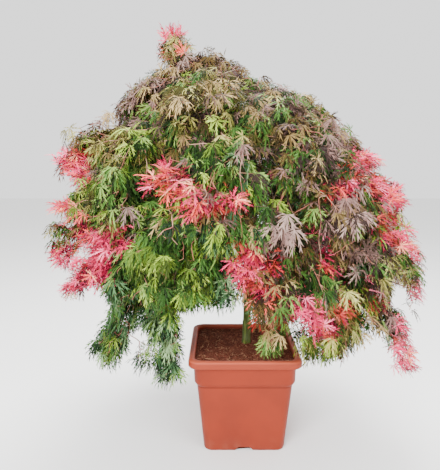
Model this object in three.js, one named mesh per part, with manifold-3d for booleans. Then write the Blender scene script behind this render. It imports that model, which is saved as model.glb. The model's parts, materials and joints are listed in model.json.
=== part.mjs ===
// A weeping laceleaf maple grown as a small standard tree in a square plastic pot.
// Units are millimetres and +Z is up. The origin is the centre of the pot's underside,
// +X points to the right of the plant and -Y points to its front.
import * as THREE from "three";
import { mergeVertices } from "three/addons/utils/BufferGeometryUtils.js";
import Module from "manifold-3d";

const wasm = await Module();
wasm.setup();

// ---- driving dimensions -------------------------------------------------------------------

const GAP = 0.5; // air between neighbouring solids

// Half widths are taken at the middle of a flat side, heights above the ground.
const POT = {
  height: 275,
  rimHalf: 151,
  rimDepth: 22,
  mouthHalf: 134,
  collarTopHalf: 137,
  collarFootHalf: 135,
  collarFoot: 206,
  bodyTopHalf: 129,
  bodyTop: 195,
  footHalf: 111,
  wall: 4,
  edge: 4, // rounding of the rim and of the foot
  skirt: 7, // thickness of the standing edge under the walls
  floor: 11, // height of the floor plate above the ground
  padHalf: 40, // the flat pad in the middle of the underside
  cornerShare: 0.19, // corner radius as a share of the half width
};
const NOTCH = { foot: 52, top: 32, height: 11 };
const CORNER_STEPS = 4;

const SOIL_TOP = POT.height - 12;

const TRUNK = {
  foot: [10, 20, SOIL_TOP + GAP],
  bow: [18, 18, 560],
  head: [0, 12, 850],
  flareRadius: 15.5,
  flareHeight: 0.09, // share of the stem's length
  radius: 11.5,
  graftRadius: 13,
  headRadius: 9,
  sides: 12,
  steps: 10,
};

const BOUGH = { tipShare: 0.5, sides: 6, steps: 5, intoMass: 0.22 };

// Each mass hangs from `from`, where it leaves its limb, and runs out and down to its tip, `to`.
// `width` is measured round the crown and `depth` through the foliage.
const CROWN = {
  leader_tuft: { from: [-186, 0, 1078], to: [-194, 0, 1134], width: 84, depth: 80 },
  leader_collar: { from: [-160, 0, 1008], to: [-188, 0, 1090], width: 84, depth: 84 },
  crest_middle: { from: [40, 0, 955], to: [-175, -10, 1010], width: 190, depth: 84, lift: 45 },
  crest_left: { from: [-120, 0, 985], to: [-318, -10, 880], width: 210, depth: 96, lift: 12 },
  crest_right: { from: [15, 0, 940], to: [248, 0, 775], width: 220, depth: 105, lift: 5 },
  crest_front: { from: [-75, -70, 970], to: [-125, -300, 800], width: 190, depth: 95, lift: 5 },
  crest_front_right: { from: [40, -70, 925], to: [75, -305, 770], width: 190, depth: 95, lift: 5 },

  left_arch: { from: [-285, -30, 830], to: [-488, -55, 740], width: 130, depth: 78, lift: 42 },
  left_shoulder: { from: [-215, -30, 850], to: [-430, -50, 640], width: 200, depth: 110, lift: 20 },
  left_flush_upper: { from: [-370, -60, 690], to: [-512, -70, 610], width: 100, depth: 76, lift: -5 },
  left_flush_middle: { from: [-350, -40, 615], to: [-518, -50, 520], width: 120, depth: 76, lift: 0 },
  left_flush_lower: { from: [-330, -60, 510], to: [-486, -70, 398], width: 120, depth: 80, lift: 0 },
  left_curtain: { from: [-300, -40, 650], to: [-365, -60, 445], width: 180, depth: 110, lift: 10 },
  left_low_outer: { from: [-235, -60, 500], to: [-388, -70, 220], width: 120, depth: 120, lift: -60 },
  left_low_inner: { from: [-235, -60, 480], to: [-208, -75, 162], width: 96, depth: 104, lift: -20 },

  front_left_upper: { from: [-190, -150, 860], to: [-325, -260, 640], width: 190, depth: 100, lift: 10 },
  front_left_curtain: { from: [-245, -200, 690], to: [-315, -265, 440], width: 180, depth: 100, lift: 10 },
  front_upper: { from: [-60, -260, 810], to: [-75, -375, 600], width: 180, depth: 90, lift: 10 },
  front_swag: { from: [-205, -330, 765], to: [-45, -400, 625], width: 76, depth: 70, lift: 0 },
  front_curtain: { from: [-150, -255, 690], to: [-165, -335, 440], width: 190, depth: 100, lift: 10 },
  front_flush: { from: [15, -330, 690], to: [22, -365, 500], width: 130, depth: 80, lift: 0 },
  front_right_upper: { from: [105, -200, 835], to: [190, -330, 620], width: 190, depth: 100, lift: 10 },
  front_right_curtain: { from: [105, -230, 680], to: [135, -300, 420], width: 170, depth: 100, lift: 10 },
  front_inner: { from: [-95, -205, 650], to: [-105, -262, 410], width: 150, depth: 100, lift: 0 },

  right_crimson_upper: { from: [200, -30, 790], to: [352, -40, 738], width: 100, depth: 66, lift: 0 },
  right_shoulder: { from: [180, -30, 790], to: [365, -60, 600], width: 210, depth: 110, lift: 10 },
  right_crimson_middle: { from: [290, -50, 715], to: [414, -60, 655], width: 100, depth: 74, lift: 8 },
  right_long_arm: { from: [340, -50, 640], to: [466, -70, 372], width: 100, depth: 80, lift: -20 },
  right_curtain: { from: [270, -90, 640], to: [330, -150, 400], width: 200, depth: 110, lift: 10 },
  right_low_arm: { from: [280, -50, 470], to: [456, -80, 178], width: 110, depth: 84, lift: -60 },
  right_low_flush: { from: [170, -130, 520], to: [235, -185, 300], width: 180, depth: 100, lift: 0 },
  right_low_tips: { from: [235, -90, 420], to: [280, -110, 262], width: 120, depth: 100, lift: 0 },
  pot_side: { from: [150, -140, 400], to: [178, -165, 256], width: 100, depth: 76, lift: 0 },
  pot_sprig: { from: [150, -215, 490], to: [60, -125, 274], width: 72, depth: 60, lift: 0 },
  corner_shoulder: { from: [160, -95, 850], to: [292, -232, 560], width: 180, depth: 105, lift: 10 },
};

// The side away from the front repeats itself: a tier of pads over a ring of curtains.
const BACK_PADS = { azimuths: [40, 92, 142], from: [95, 930], to: [330, 760], width: 230, depth: 100 };
const BACK_CURTAINS = {
  azimuths: [22, 57, 90, 122, 154],
  from: [270, 790],
  to: [425, 430],
  width: 235,
  depth: 105,
};
const BACK_HEMS = { azimuths: [52, 142], from: [362, 520], to: [385, 300], width: 170, depth: 90 };

// Where each bough leaves the stem, how thick it is there and the mass that it enters.
const BOUGHS = {
  leader: { feeds: "leader_collar", leaves: 838, radius: 6.5, rise: 150 },
  crest: { feeds: "crest_right", leaves: 832, radius: 6, rise: 90 },
  left_high: { feeds: "left_shoulder", leaves: 800, radius: 7, rise: 60 },
  front_left: { feeds: "front_left_upper", leaves: 780, radius: 7, rise: 80 },
  front: { feeds: "front_upper", leaves: 765, radius: 6.5, rise: 60 },
  front_right: { feeds: "front_right_upper", leaves: 790, radius: 6.5, rise: 60 },
  right_high: { feeds: "right_shoulder", leaves: 805, radius: 7, rise: 40 },
  left_low: { feeds: "left_curtain", leaves: 735, radius: 6.5, rise: 10 },
  right_low: { feeds: "right_curtain", leaves: 740, radius: 6.5, rise: 10 },
  back_right: { feeds: "back_pad_1", leaves: 815, radius: 6.5, rise: 60 },
  back: { feeds: "back_pad_2", leaves: 795, radius: 6.5, rise: 70 },
  back_left: { feeds: "back_pad_3", leaves: 775, radius: 6.5, rise: 80 },
};

// ---- materials ----------------------------------------------------------------------------

const material = (color, roughness) =>
  new THREE.MeshStandardMaterial({ color, roughness, metalness: 0 });

const FINISH = {
  pot: material(0xc2694f, 0.5),
  soil: material(0x4a2a22, 0.95),
  stem: material(0x6f8a45, 0.6),
  bough: material(0x6b5340, 0.75),
  green: material(0x5c8a45, 0.7),
  bronze: material(0x8f7a58, 0.7),
  crimson: material(0xd8496b, 0.7),
};

const CRIMSON = /tuft|flush|crimson|swag|right_long|right_low_arm/;
const BRONZE = /crest|collar|arch|shoulder|pad/;

// ---- solids -------------------------------------------------------------------------------

// A closed geometry as a solid, with its seams merged.
function solidOf(geometry) {
  const bare = geometry.index ? geometry.toNonIndexed() : geometry.clone();
  bare.deleteAttribute("normal");
  bare.deleteAttribute("uv");
  const merged = mergeVertices(bare, 1e-3);
  const corners = merged.index.array;
  const kept = [];
  for (let i = 0; i < corners.length; i += 3) {
    const [a, b, c] = corners.subarray(i, i + 3);
    if (a !== b && b !== c && c !== a) kept.push(a, b, c);
  }
  return new wasm.Manifold(
    new wasm.Mesh({
      numProp: 3,
      vertProperties: merged.attributes.position.array,
      triVerts: new Uint32Array(kept),
    }),
  );
}

function meshOf(name, solid, finish) {
  const mesh = solid.getMesh();
  const geometry = new THREE.BufferGeometry()
    .setAttribute("position", new THREE.BufferAttribute(mesh.vertProperties, 3))
    .setIndex(new THREE.BufferAttribute(mesh.triVerts, 1));
  geometry.computeVertexNormals();
  const made = new THREE.Mesh(geometry, finish);
  made.name = name;
  return made;
}

// The same solid with each corner moved out along its normal, to cut a clearance with.
function swollen(solid, by = 1.6 * GAP) {
  const mesh = solid.getMesh();
  const geometry = new THREE.BufferGeometry()
    .setAttribute("position", new THREE.BufferAttribute(mesh.vertProperties.slice(), 3))
    .setIndex(new THREE.BufferAttribute(mesh.triVerts, 1));
  geometry.computeVertexNormals();
  const { position, normal } = geometry.attributes;
  for (let i = 0; i < position.array.length; i++) {
    position.array[i] += by * normal.array[i];
  }
  return solidOf(geometry);
}

// Cutting can leave crumbs, so the largest body is the one that counts.
const largest = (solid) =>
  solid.decompose().reduce((a, b) => (b.volume() > a.volume() ? b : a));

// ---- the pot and its soil -----------------------------------------------------------------

// Turns a profile of [half width, height] into a square body with round corners. Each quarter of
// the lathe's ring is one corner's arc, and the flat sides run from one arc to the next.
function squareBody(profile) {
  const ring = 4 * (CORNER_STEPS + 1);
  const points = profile.map(([half, height]) => new THREE.Vector2(half, height));
  const geometry = new THREE.LatheGeometry(points, ring).rotateX(Math.PI / 2);
  const at = geometry.attributes.position;
  for (let i = 0; i < at.count; i++) {
    const half = Math.hypot(at.getX(i), at.getY(i));
    const turn = (Math.atan2(at.getY(i), at.getX(i)) / (2 * Math.PI)) * ring;
    const step = ((Math.round(turn) % ring) + ring) % ring;
    const quarter = Math.floor(step / (CORNER_STEPS + 1));
    const arc = ((step % (CORNER_STEPS + 1)) / CORNER_STEPS) * (Math.PI / 2);
    const corner = half * POT.cornerShare;
    const place = new THREE.Vector2(
      half - corner + corner * Math.cos(arc),
      half - corner + corner * Math.sin(arc),
    ).rotateAround(new THREE.Vector2(), (quarter * Math.PI) / 2);
    at.setXY(i, half > 0 ? place.x : 0, half > 0 ? place.y : 0);
  }
  return solidOf(geometry);
}

function potSolid() {
  const p = POT;
  const rimFoot = p.height - p.rimDepth;
  let pot = squareBody([
    [0, 0],
    [p.padHalf, 0],
    [p.padHalf, p.floor],
    [p.footHalf - p.skirt, p.floor],
    [p.footHalf - p.skirt, 0],
    [p.footHalf - p.edge, 0],
    [p.footHalf, p.edge],
    [p.bodyTopHalf, p.bodyTop],
    [p.collarFootHalf, p.collarFoot],
    [p.collarTopHalf, rimFoot],
    [p.rimHalf - p.edge, rimFoot],
    [p.rimHalf, rimFoot + p.edge],
    [p.rimHalf, p.height - 1.5 * p.edge],
    [p.rimHalf - p.edge, p.height],
    [p.mouthHalf + p.edge, p.height],
    [p.mouthHalf, p.height - p.edge],
    [p.collarTopHalf - p.wall, rimFoot],
    [p.collarFootHalf - p.wall, p.collarFoot],
    [p.bodyTopHalf - p.wall, p.bodyTop],
    [p.footHalf - p.wall, p.floor + p.wall],
    [0, p.floor + p.wall],
  ]);
  const opening = new THREE.Shape([
    new THREE.Vector2(-NOTCH.foot / 2, -1),
    new THREE.Vector2(NOTCH.foot / 2, -1),
    new THREE.Vector2(NOTCH.top / 2, NOTCH.height),
    new THREE.Vector2(-NOTCH.top / 2, NOTCH.height),
  ]);
  const depth = 2 * p.skirt;
  for (let side = 0; side < 4; side++) {
    const notch = new THREE.ExtrudeGeometry(opening, { depth, bevelEnabled: false })
      .rotateX(Math.PI / 2)
      .translate(0, p.footHalf + p.skirt, 0)
      .rotateZ((side * Math.PI) / 2);
    pot = pot.subtract(solidOf(notch));
  }
  return pot;
}

function soilSolid() {
  const p = POT;
  const clear = p.wall + GAP;
  return squareBody([
    [0, p.floor + clear],
    [p.footHalf - clear, p.floor + clear],
    [p.bodyTopHalf - clear, p.bodyTop],
    [p.collarFootHalf - clear, p.collarFoot],
    [p.collarTopHalf - clear, SOIL_TOP],
    [0, SOIL_TOP],
  ]);
}

// ---- limbs and masses ---------------------------------------------------------------------

const vector = (place) => new THREE.Vector3(...place);

// Sets a geometry that stands on the Y axis from -0.5 to 0.5 along a curve in a vertical plane.
// X is stretched by widthAt across the plane and Z by depthAt within it.
function alongCurve(geometry, curve, across, widthAt, depthAt) {
  const at = geometry.attributes.position;
  for (let i = 0; i < at.count; i++) {
    const t = THREE.MathUtils.clamp(at.getY(i) + 0.5, 0, 1);
    const tangent = curve.getTangent(t);
    const outward = new THREE.Vector3().crossVectors(across, tangent).normalize();
    const place = curve
      .getPoint(t)
      .addScaledVector(across, at.getX(i) * widthAt(t, i))
      .addScaledVector(outward, at.getZ(i) * depthAt(t, i));
    at.setXYZ(i, place.x, place.y, place.z);
  }
  return solidOf(geometry);
}

// The horizontal direction across a path, seen along it.
function acrossOf(from, to) {
  const heading = new THREE.Vector3(to.x - from.x, to.y - from.y, 0);
  if (heading.length() < 1) heading.set(1, 0, 0);
  return new THREE.Vector3(-heading.y, heading.x, 0).normalize();
}

function trunkSolid() {
  const { radius, flareRadius, flareHeight, graftRadius, headRadius, sides, steps } = TRUNK;
  const foot = vector(TRUNK.foot);
  const head = vector(TRUNK.head);
  const curve = new THREE.QuadraticBezierCurve3(foot, vector(TRUNK.bow), head);
  const radiusAt = (t) => {
    const flare = (flareRadius - radius) * Math.max(0, 1 - t / flareHeight) ** 2;
    const graft = (graftRadius - radius) * Math.exp(-(((t - 0.82) / 0.05) ** 2));
    const taper = (headRadius - radius) * THREE.MathUtils.smoothstep(t, 0.85, 1);
    return radius + flare + graft + taper;
  };
  const column = new THREE.CylinderGeometry(1, 1, 1, sides, steps);
  return alongCurve(column, curve, acrossOf(foot, head), radiusAt, radiusAt);
}

function boughCurve({ feeds, leaves, rise }) {
  const spec = masses[feeds];
  const foot = vector(TRUNK.foot);
  const head = vector(TRUNK.head);
  const share = (leaves - foot.z) / (head.z - foot.z);
  const start = new THREE.QuadraticBezierCurve3(foot, vector(TRUNK.bow), head).getPoint(share);
  const end = massCurve(spec).getPoint(BOUGH.intoMass);
  const middle = start.clone().lerp(end, 0.5);
  middle.z = Math.max(start.z, end.z - rise) + rise / 2;
  return new THREE.QuadraticBezierCurve3(start, middle, end);
}

function boughSolid(spec) {
  const curve = boughCurve(spec);
  const across = acrossOf(curve.v0, curve.v2);
  const radiusAt = (t) => spec.radius * (1 - (1 - BOUGH.tipShare) * t);
  const column = new THREE.CylinderGeometry(1, 1, 1, BOUGH.sides, BOUGH.steps);
  return alongCurve(column, curve, across, radiusAt, radiusAt);
}

function massCurve({ from, to, lift = 0 }) {
  const start = vector(from);
  const end = vector(to);
  const shoulder = start.clone().lerp(end, 0.7);
  shoulder.z = Math.max(start.z, end.z) + lift;
  return new THREE.QuadraticBezierCurve3(start, shoulder, end);
}

// A foliage mass is a bolster along its curve, full in the middle and uneven all round.
const MASS = { sides: 8, steps: 6, fullness: 0.62, unevenness: 0.13 };

function massSolid(spec, seed) {
  const curve = massCurve(spec);
  const ball = new THREE.SphereGeometry(1, MASS.sides, MASS.steps).scale(1, 0.5, 1);
  const at = ball.attributes.position;
  const uneven = (i) => {
    const [x, y, z] = [at.getX(i), at.getY(i), at.getZ(i)];
    const wave = Math.sin(3 * Math.atan2(z, x) + seed) * Math.cos(9 * y + 2.3 * seed);
    return 1 + MASS.unevenness * wave;
  };
  const bumps = Array.from({ length: at.count }, (_, i) => uneven(i));
  for (let i = 0; i < at.count; i++) {
    const ring = Math.hypot(at.getX(i), at.getZ(i));
    if (ring < 1e-6) continue;
    const full = (ring ** MASS.fullness * bumps[i]) / ring;
    at.setX(i, at.getX(i) * full);
    at.setZ(i, at.getZ(i) * full);
  }
  const across = acrossOf(curve.v0, curve.v2);
  return alongCurve(ball, curve, across, () => spec.width / 2, () => spec.depth / 2);
}

// A point at a reach from the crown's axis, on an azimuth counted from +X towards +Y.
function polar(azimuth, [reach, height]) {
  const turn = THREE.MathUtils.degToRad(azimuth);
  return [reach * Math.cos(turn), reach * Math.sin(turn), height];
}

// Spreads one pattern of mass over several azimuths, a little higher or lower from one to the next.
function ringOf(prefix, { azimuths, from, to, width, depth }) {
  const made = {};
  azimuths.forEach((azimuth, i) => {
    const step = 35 * Math.sin(2.4 * i + azimuth);
    made[`${prefix}_${i + 1}`] = {
      from: polar(azimuth, from),
      to: polar(azimuth + 4, [to[0] - step, to[1] + step]),
      width,
      depth,
      lift: 10,
    };
  });
  return made;
}

const masses = {
  ...CROWN,
  ...ringOf("back_pad", BACK_PADS),
  ...ringOf("back_curtain", BACK_CURTAINS),
  ...ringOf("back_hem", BACK_HEMS),
};

// ---- assembly -----------------------------------------------------------------------------

const plant = new THREE.Group();
plant.add(meshOf("pot", potSolid(), FINISH.pot));
plant.add(meshOf("soil", soilSolid(), FINISH.soil));
plant.add(meshOf("trunk", trunkSolid(), FINISH.stem));

// Each bough stops a gap short of the stem and of the boughs made before it.
const wood = [swollen(trunkSolid())];
for (const [name, spec] of Object.entries(BOUGHS)) {
  const whole = boughSolid(spec);
  const bough = wood.reduce((left, other) => left.subtract(other), whole);
  plant.add(meshOf(`bough_${name}`, largest(bough), FINISH.bough));
  wood.push(swollen(whole));
}

// Each mass is hollowed where limbs enter it and gives way to the masses made before it.
const taken = [...wood];
Object.entries(masses).forEach(([name, spec], i) => {
  const whole = massSolid(spec, i);
  const mass = taken.reduce((left, other) => left.subtract(other), whole);
  let finish = FINISH.green;
  if (BRONZE.test(name)) finish = FINISH.bronze;
  if (CRIMSON.test(name)) finish = FINISH.crimson;
  plant.add(meshOf(name, largest(mass), finish));
  taken.push(swollen(whole));
});

export default plant;
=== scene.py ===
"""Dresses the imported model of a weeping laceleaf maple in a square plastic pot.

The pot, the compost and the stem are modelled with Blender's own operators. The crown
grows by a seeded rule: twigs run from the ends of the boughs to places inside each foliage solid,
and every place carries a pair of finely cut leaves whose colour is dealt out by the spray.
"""

import json
import math

import bpy
import numpy as np
from bpy.props import FloatProperty, FloatVectorProperty, IntProperty, PointerProperty
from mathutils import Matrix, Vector, noise
from mathutils.bvhtree import BVHTree

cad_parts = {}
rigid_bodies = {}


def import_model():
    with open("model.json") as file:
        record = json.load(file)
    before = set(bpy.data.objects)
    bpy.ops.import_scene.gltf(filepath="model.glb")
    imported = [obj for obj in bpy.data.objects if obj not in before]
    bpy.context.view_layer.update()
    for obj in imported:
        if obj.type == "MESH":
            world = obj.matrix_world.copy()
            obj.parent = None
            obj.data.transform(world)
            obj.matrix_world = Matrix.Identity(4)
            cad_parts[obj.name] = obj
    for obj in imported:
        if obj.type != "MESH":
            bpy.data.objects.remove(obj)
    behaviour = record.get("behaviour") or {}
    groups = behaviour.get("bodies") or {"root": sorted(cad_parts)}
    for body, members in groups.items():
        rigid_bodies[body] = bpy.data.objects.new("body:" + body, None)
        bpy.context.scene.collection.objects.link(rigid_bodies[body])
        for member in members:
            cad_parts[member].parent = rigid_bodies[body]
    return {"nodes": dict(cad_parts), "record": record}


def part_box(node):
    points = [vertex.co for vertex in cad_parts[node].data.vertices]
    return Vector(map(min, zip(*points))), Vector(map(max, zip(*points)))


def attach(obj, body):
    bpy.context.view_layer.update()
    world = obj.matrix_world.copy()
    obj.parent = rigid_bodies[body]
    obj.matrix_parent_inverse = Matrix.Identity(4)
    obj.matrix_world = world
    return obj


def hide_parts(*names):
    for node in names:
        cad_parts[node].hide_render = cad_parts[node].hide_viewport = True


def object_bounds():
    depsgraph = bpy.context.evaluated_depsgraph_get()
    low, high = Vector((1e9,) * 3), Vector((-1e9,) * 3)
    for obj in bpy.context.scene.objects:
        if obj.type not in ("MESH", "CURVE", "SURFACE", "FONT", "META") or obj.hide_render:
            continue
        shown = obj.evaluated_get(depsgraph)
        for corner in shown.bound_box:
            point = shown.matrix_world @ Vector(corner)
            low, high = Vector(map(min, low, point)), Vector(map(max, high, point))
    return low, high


bl_info = {
    "name": "Weeping maple in a pot",
    "version": (1, 0, 0),
    "blender": (4, 5, 0),
    "location": "3D View > Sidebar > Maple",
    "description": "Builds a potted weeping maple around its packed model",
    "category": "Add Mesh",
}

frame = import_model()
CAD_BOX = [list(corner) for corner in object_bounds()]
POT_LOW, POT_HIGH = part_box("pot")
SOIL_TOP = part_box("soil")[1].z

BOUGHS = sorted(name for name in frame["nodes"] if name.startswith("bough_"))
MASSES = sorted(set(frame["nodes"]) - {"pot", "soil", "trunk"} - set(BOUGHS))
SLOT_OF = {s["node"]: s["material_slot"] for s in frame["record"]["subparts"]}

# ---- finishes -----------------------------------------------------------------------------

# Linear colours. Every family of leaves has tones of its own, dealt out from leaf to leaf.
# The light tone is painted light, kept for leaves that count as lit at the crown's surface and
# outline; the darkest tone, made from the dark one, is painted shade on the other leaves.
LEAF_TONES = {
    "leaf_green": [(0.020, 0.055, 0.008), (0.050, 0.120, 0.018), (0.170, 0.270, 0.055)],
    "leaf_blue_green": [(0.022, 0.056, 0.022), (0.058, 0.125, 0.048), (0.190, 0.290, 0.130)],
    "leaf_lime": [(0.090, 0.150, 0.015), (0.210, 0.310, 0.030), (0.340, 0.450, 0.075)],
    "leaf_straw": [(0.130, 0.120, 0.025), (0.310, 0.280, 0.075), (0.410, 0.390, 0.125)],
    "leaf_bronze": [(0.080, 0.050, 0.014), (0.190, 0.125, 0.045), (0.370, 0.260, 0.110)],
    "leaf_mauve": [(0.080, 0.044, 0.036), (0.185, 0.105, 0.090), (0.265, 0.176, 0.148)],
    "leaf_crimson": [(0.420, 0.016, 0.060), (0.800, 0.052, 0.150), (0.960, 0.200, 0.310)],
    "leaf_coral": [(0.420, 0.035, 0.027), (0.800, 0.110, 0.078), (0.920, 0.330, 0.200)],
}
LEAF_FAMILIES = list(LEAF_TONES)
TWIG_TONES = [(0.060, 0.032, 0.024), (0.320, 0.105, 0.080), (0.420, 0.240, 0.165)]
PETIOLE_TONES = [(0.450, 0.080, 0.070), (0.420, 0.200, 0.130)]
CHIP_TONES = [(0.085, 0.026, 0.016), (0.240, 0.085, 0.050), (0.520, 0.270, 0.150)]

# How a spray in each foliage solid picks its family, as parts of a whole.
CREST = {"leaf_mauve": 7, "leaf_bronze": 7, "leaf_green": 3, "leaf_straw": 3}
LIMY = {"leaf_lime": 4, "leaf_green": 5, "leaf_straw": 2, "leaf_bronze": 2, "leaf_mauve": 1}
DEEP = {"leaf_green": 8, "leaf_blue_green": 3, "leaf_lime": 1}
COOL = {"leaf_blue_green": 8, "leaf_green": 3, "leaf_lime": 1}
DUSKY = {"leaf_mauve": 7, "leaf_bronze": 5, "leaf_green": 5}
FLUSH = {"leaf_crimson": 10, "leaf_coral": 2, "leaf_mauve": 1}
EMBER = {"leaf_coral": 4, "leaf_crimson": 5, "leaf_straw": 1, "leaf_lime": 1, "leaf_mauve": 2}
PALE = {"leaf_straw": 3, "leaf_lime": 1, "leaf_green": 4, "leaf_bronze": 4, "leaf_mauve": 4}
MIXED = {"leaf_green": 7, "leaf_blue_green": 3, "leaf_lime": 2, "leaf_bronze": 1, "leaf_mauve": 1}
TINTS = {
    "leader_tuft": {"leaf_crimson": 1},
    "leader_collar": {"leaf_bronze": 4, "leaf_green": 3, "leaf_straw": 1, "leaf_coral": 1},
    "crest_front": PALE,
    "crest_front_right": {"leaf_bronze": 4, "leaf_green": 7, "leaf_straw": 1, "leaf_mauve": 4},
    "crest_": CREST,
    "crest_middle": {"leaf_mauve": 6, "leaf_bronze": 6, "leaf_straw": 2, "leaf_green": 1},
    "left_arch": {"leaf_straw": 3, "leaf_coral": 2, "leaf_lime": 2, "leaf_mauve": 3},
    "left_shoulder": LIMY,
    "left_flush": {"leaf_crimson": 3, "leaf_green": 4, "leaf_straw": 3, "leaf_bronze": 2},
    "left_curtain": {"leaf_crimson": 3, "leaf_green": 4, "leaf_blue_green": 3, "leaf_mauve": 1},
    "left_low": COOL,
    "front_left_upper": LIMY,
    "front_swag": MIXED,
    "front_flush": {"leaf_green": 5, "leaf_mauve": 3, "leaf_bronze": 2},
    "front_upper": MIXED,
    "front_curtain": {"leaf_lime": 5, "leaf_green": 5},
    "front_left_curtain": DEEP,
    "front_right_upper": DUSKY,
    "front_right_curtain": {"leaf_green": 7, "leaf_mauve": 3, "leaf_bronze": 4},
    "front_inner": COOL,
    "right_crimson": EMBER,
    "right_shoulder": {**DUSKY, "leaf_coral": 1},
    "corner_shoulder": DUSKY,
    "right_long_arm": {"leaf_coral": 4, "leaf_crimson": 2, "leaf_green": 3, "leaf_mauve": 3},
    "right_curtain": {"leaf_green": 5, "leaf_mauve": 4, "leaf_bronze": 4, "leaf_crimson": 1},
    "right_low_arm": {"leaf_green": 4, "leaf_blue_green": 3, "leaf_mauve": 2},
    "right_low_flush": {"leaf_crimson": 4, "leaf_green": 4, "leaf_mauve": 1},
    "right_low_tips": {"leaf_lime": 4, "leaf_straw": 2, "leaf_green": 4},
    "pot_side": {"leaf_green": 4, "leaf_lime": 3, "leaf_blue_green": 2},
    "pot_sprig": {"leaf_lime": 1, "leaf_green": 4},
    "back_pad": CREST,
    "back_curtain": {"leaf_green": 6, "leaf_bronze": 2, "leaf_mauve": 2, "leaf_crimson": 2},
    "back_hem": COOL,
}
# Foliage solids whose leaves are of one age all through.
ALL_YOUNG = ("leader", "pot", "left_low", "left_flush", "left_arch", "front_swag", "front_flush")
ALL_YOUNG += ("right_low", "right_crimson", "right_long_arm")
# How wide apart the leaves stand in some of the foliage solids, as a share of the spacing.
SPREAD = {"left_low": 1.12, "right_low": 1.1, "leader_tuft": 0.75, "leader": 1.0, "pot": 1.1}

# Patches seen from the front, as centre and half size in the 440 by 470 frame of the camera.
FRAME_SIZE = (440, 470)
PATCHES = [
    ("collar", 172, 53, 18, 12, {"leaf_bronze": 4, "leaf_straw": 3, "leaf_coral": 1, "leaf_green": 2}),
    ("left_rose_high", 70, 213, 20, 9, FLUSH),
    ("left_rose", 112, 232, 29, 13, FLUSH),
    ("left_rose_low", 88, 259, 38, 19, FLUSH),
    ("left_rose_foot", 76, 284, 18, 9, FLUSH),
    ("left_arch", 98, 138, 34, 14, {"leaf_lime": 2, "leaf_straw": 6, "leaf_bronze": 3, "leaf_mauve": 2}),
    ("left_arch_foot", 88, 152, 22, 7, {"leaf_coral": 3, "leaf_straw": 2, "leaf_lime": 1}),
    ("left_tips", 74, 168, 27, 14, FLUSH),
    ("left_green", 96, 192, 16, 15, {"leaf_lime": 3, "leaf_green": 3, "leaf_straw": 3}),
    ("left_edge", 64, 196, 16, 22, {"leaf_crimson": 3, "leaf_coral": 2, "leaf_straw": 1}),
    ("right_upper_tip", 360, 158, 20, 8, FLUSH),
    ("lime_patch", 292, 193, 17, 15, {"leaf_lime": 3, "leaf_green": 1}),
    ("straw_left", 150, 152, 26, 10, {"leaf_straw": 3, "leaf_lime": 2, "leaf_green": 3}),
    ("straw_middle", 218, 92, 28, 11, {"leaf_straw": 4, "leaf_bronze": 4, "leaf_mauve": 2}),
    ("straw_right", 228, 120, 16, 10, {"leaf_straw": 3, "leaf_lime": 1, "leaf_green": 3}),
    ("small_flush", 318, 240, 10, 8, FLUSH),
    ("smaller_flush", 326, 262, 9, 7, FLUSH),
    ("right_swathe", 358, 184, 40, 12, EMBER),
    ("right_rose", 392, 224, 24, 26, EMBER),
    ("right_swathe_tip", 390, 190, 22, 12, FLUSH),
    ("right_tip", 412, 290, 12, 16, FLUSH),
    ("low_right_tip", 402, 346, 16, 30, FLUSH),
    ("low_right_rose", 302, 300, 19, 11, FLUSH),
    ("low_right_spill", 316, 319, 15, 13, FLUSH),
    ("lime_spill", 332, 343, 17, 14, {"leaf_lime": 4, "leaf_straw": 2, "leaf_coral": 1}),
    ("ember_drops", 268, 306, 16, 14, {"leaf_coral": 4, "leaf_bronze": 4, "leaf_mauve": 2}),
    ("swag_left", 178, 181, 23, 9, {"leaf_crimson": 6, "leaf_coral": 5}),
    ("swag_right", 212, 200, 24, 12, {"leaf_crimson": 6, "leaf_coral": 5}),
    ("swag_clear", 186, 228, 40, 16, {"leaf_green": 6, "leaf_blue_green": 2, "leaf_lime": 2}),
    ("centre_rose", 248, 260, 21, 24, {"leaf_crimson": 6, "leaf_coral": 4}),
    ("centre_spill", 260, 280, 18, 15, {"leaf_crimson": 5, "leaf_coral": 4, "leaf_bronze": 2}),
    ("lime_low", 148, 335, 16, 26, {"leaf_lime": 1, "leaf_green": 4, "leaf_blue_green": 4}),
    ("lime_drop", 304, 348, 18, 16, {"leaf_lime": 3, "leaf_green": 2, "leaf_straw": 1}),
    ("olive_drop", 350, 330, 22, 16, {"leaf_straw": 2, "leaf_bronze": 3, "leaf_green": 2}),
    ("olive_middle", 340, 300, 28, 15, {"leaf_straw": 3, "leaf_coral": 3, "leaf_lime": 2}),
    ("pale_drop", 386, 272, 22, 22, {"leaf_straw": 3, "leaf_mauve": 4, "leaf_green": 2}),
    ("foot_left", 112, 336, 34, 30, {"leaf_green": 5, "leaf_lime": 2, "leaf_blue_green": 5}),
]
# Places in the same frame where the sky shows through the crown, as centre and half size.
SKY = [
    ("left_of_stem", 202, 316, 24, 13),
    ("under_left_rose", 96, 297, 14, 11),
    ("beside_right_tip", 398, 297, 9, 14),
    ("left_notch", 60, 190, 16, 9),
    ("stem_upper", 246, 312, 6, 16),
    ("low_right_gap", 370, 352, 22, 12),
    ("below_low_right", 380, 378, 20, 12),
    ("left_low_notch", 62, 274, 12, 6),
    ("below_lime_spill", 340, 368, 28, 11),
    ("left_rose_slit", 56, 241, 10, 4),
    ("over_pot", 262, 376, 38, 22),
    ("stem_lower", 246, 322, 8, 20),
    ("left_arch_slit", 64, 150, 8, 3),
    ("left_bay", 54, 189, 20, 13),
    ("inner_rose_slit", 72, 242, 9, 4),
    ("left_edge_slit", 56, 200, 15, 4),
    ("left_middle_notch", 54, 219, 11, 6),
    ("right_slit", 380, 173, 15, 4),
    ("low_left_gap", 131, 348, 5, 11),
    ("low_left_slit", 143, 334, 8, 4),
    ("low_left_slot", 158, 347, 4, 7),
    ("below_low_left", 124, 374, 15, 9),
    ("left_low_slit", 58, 272, 12, 5),
]
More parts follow.
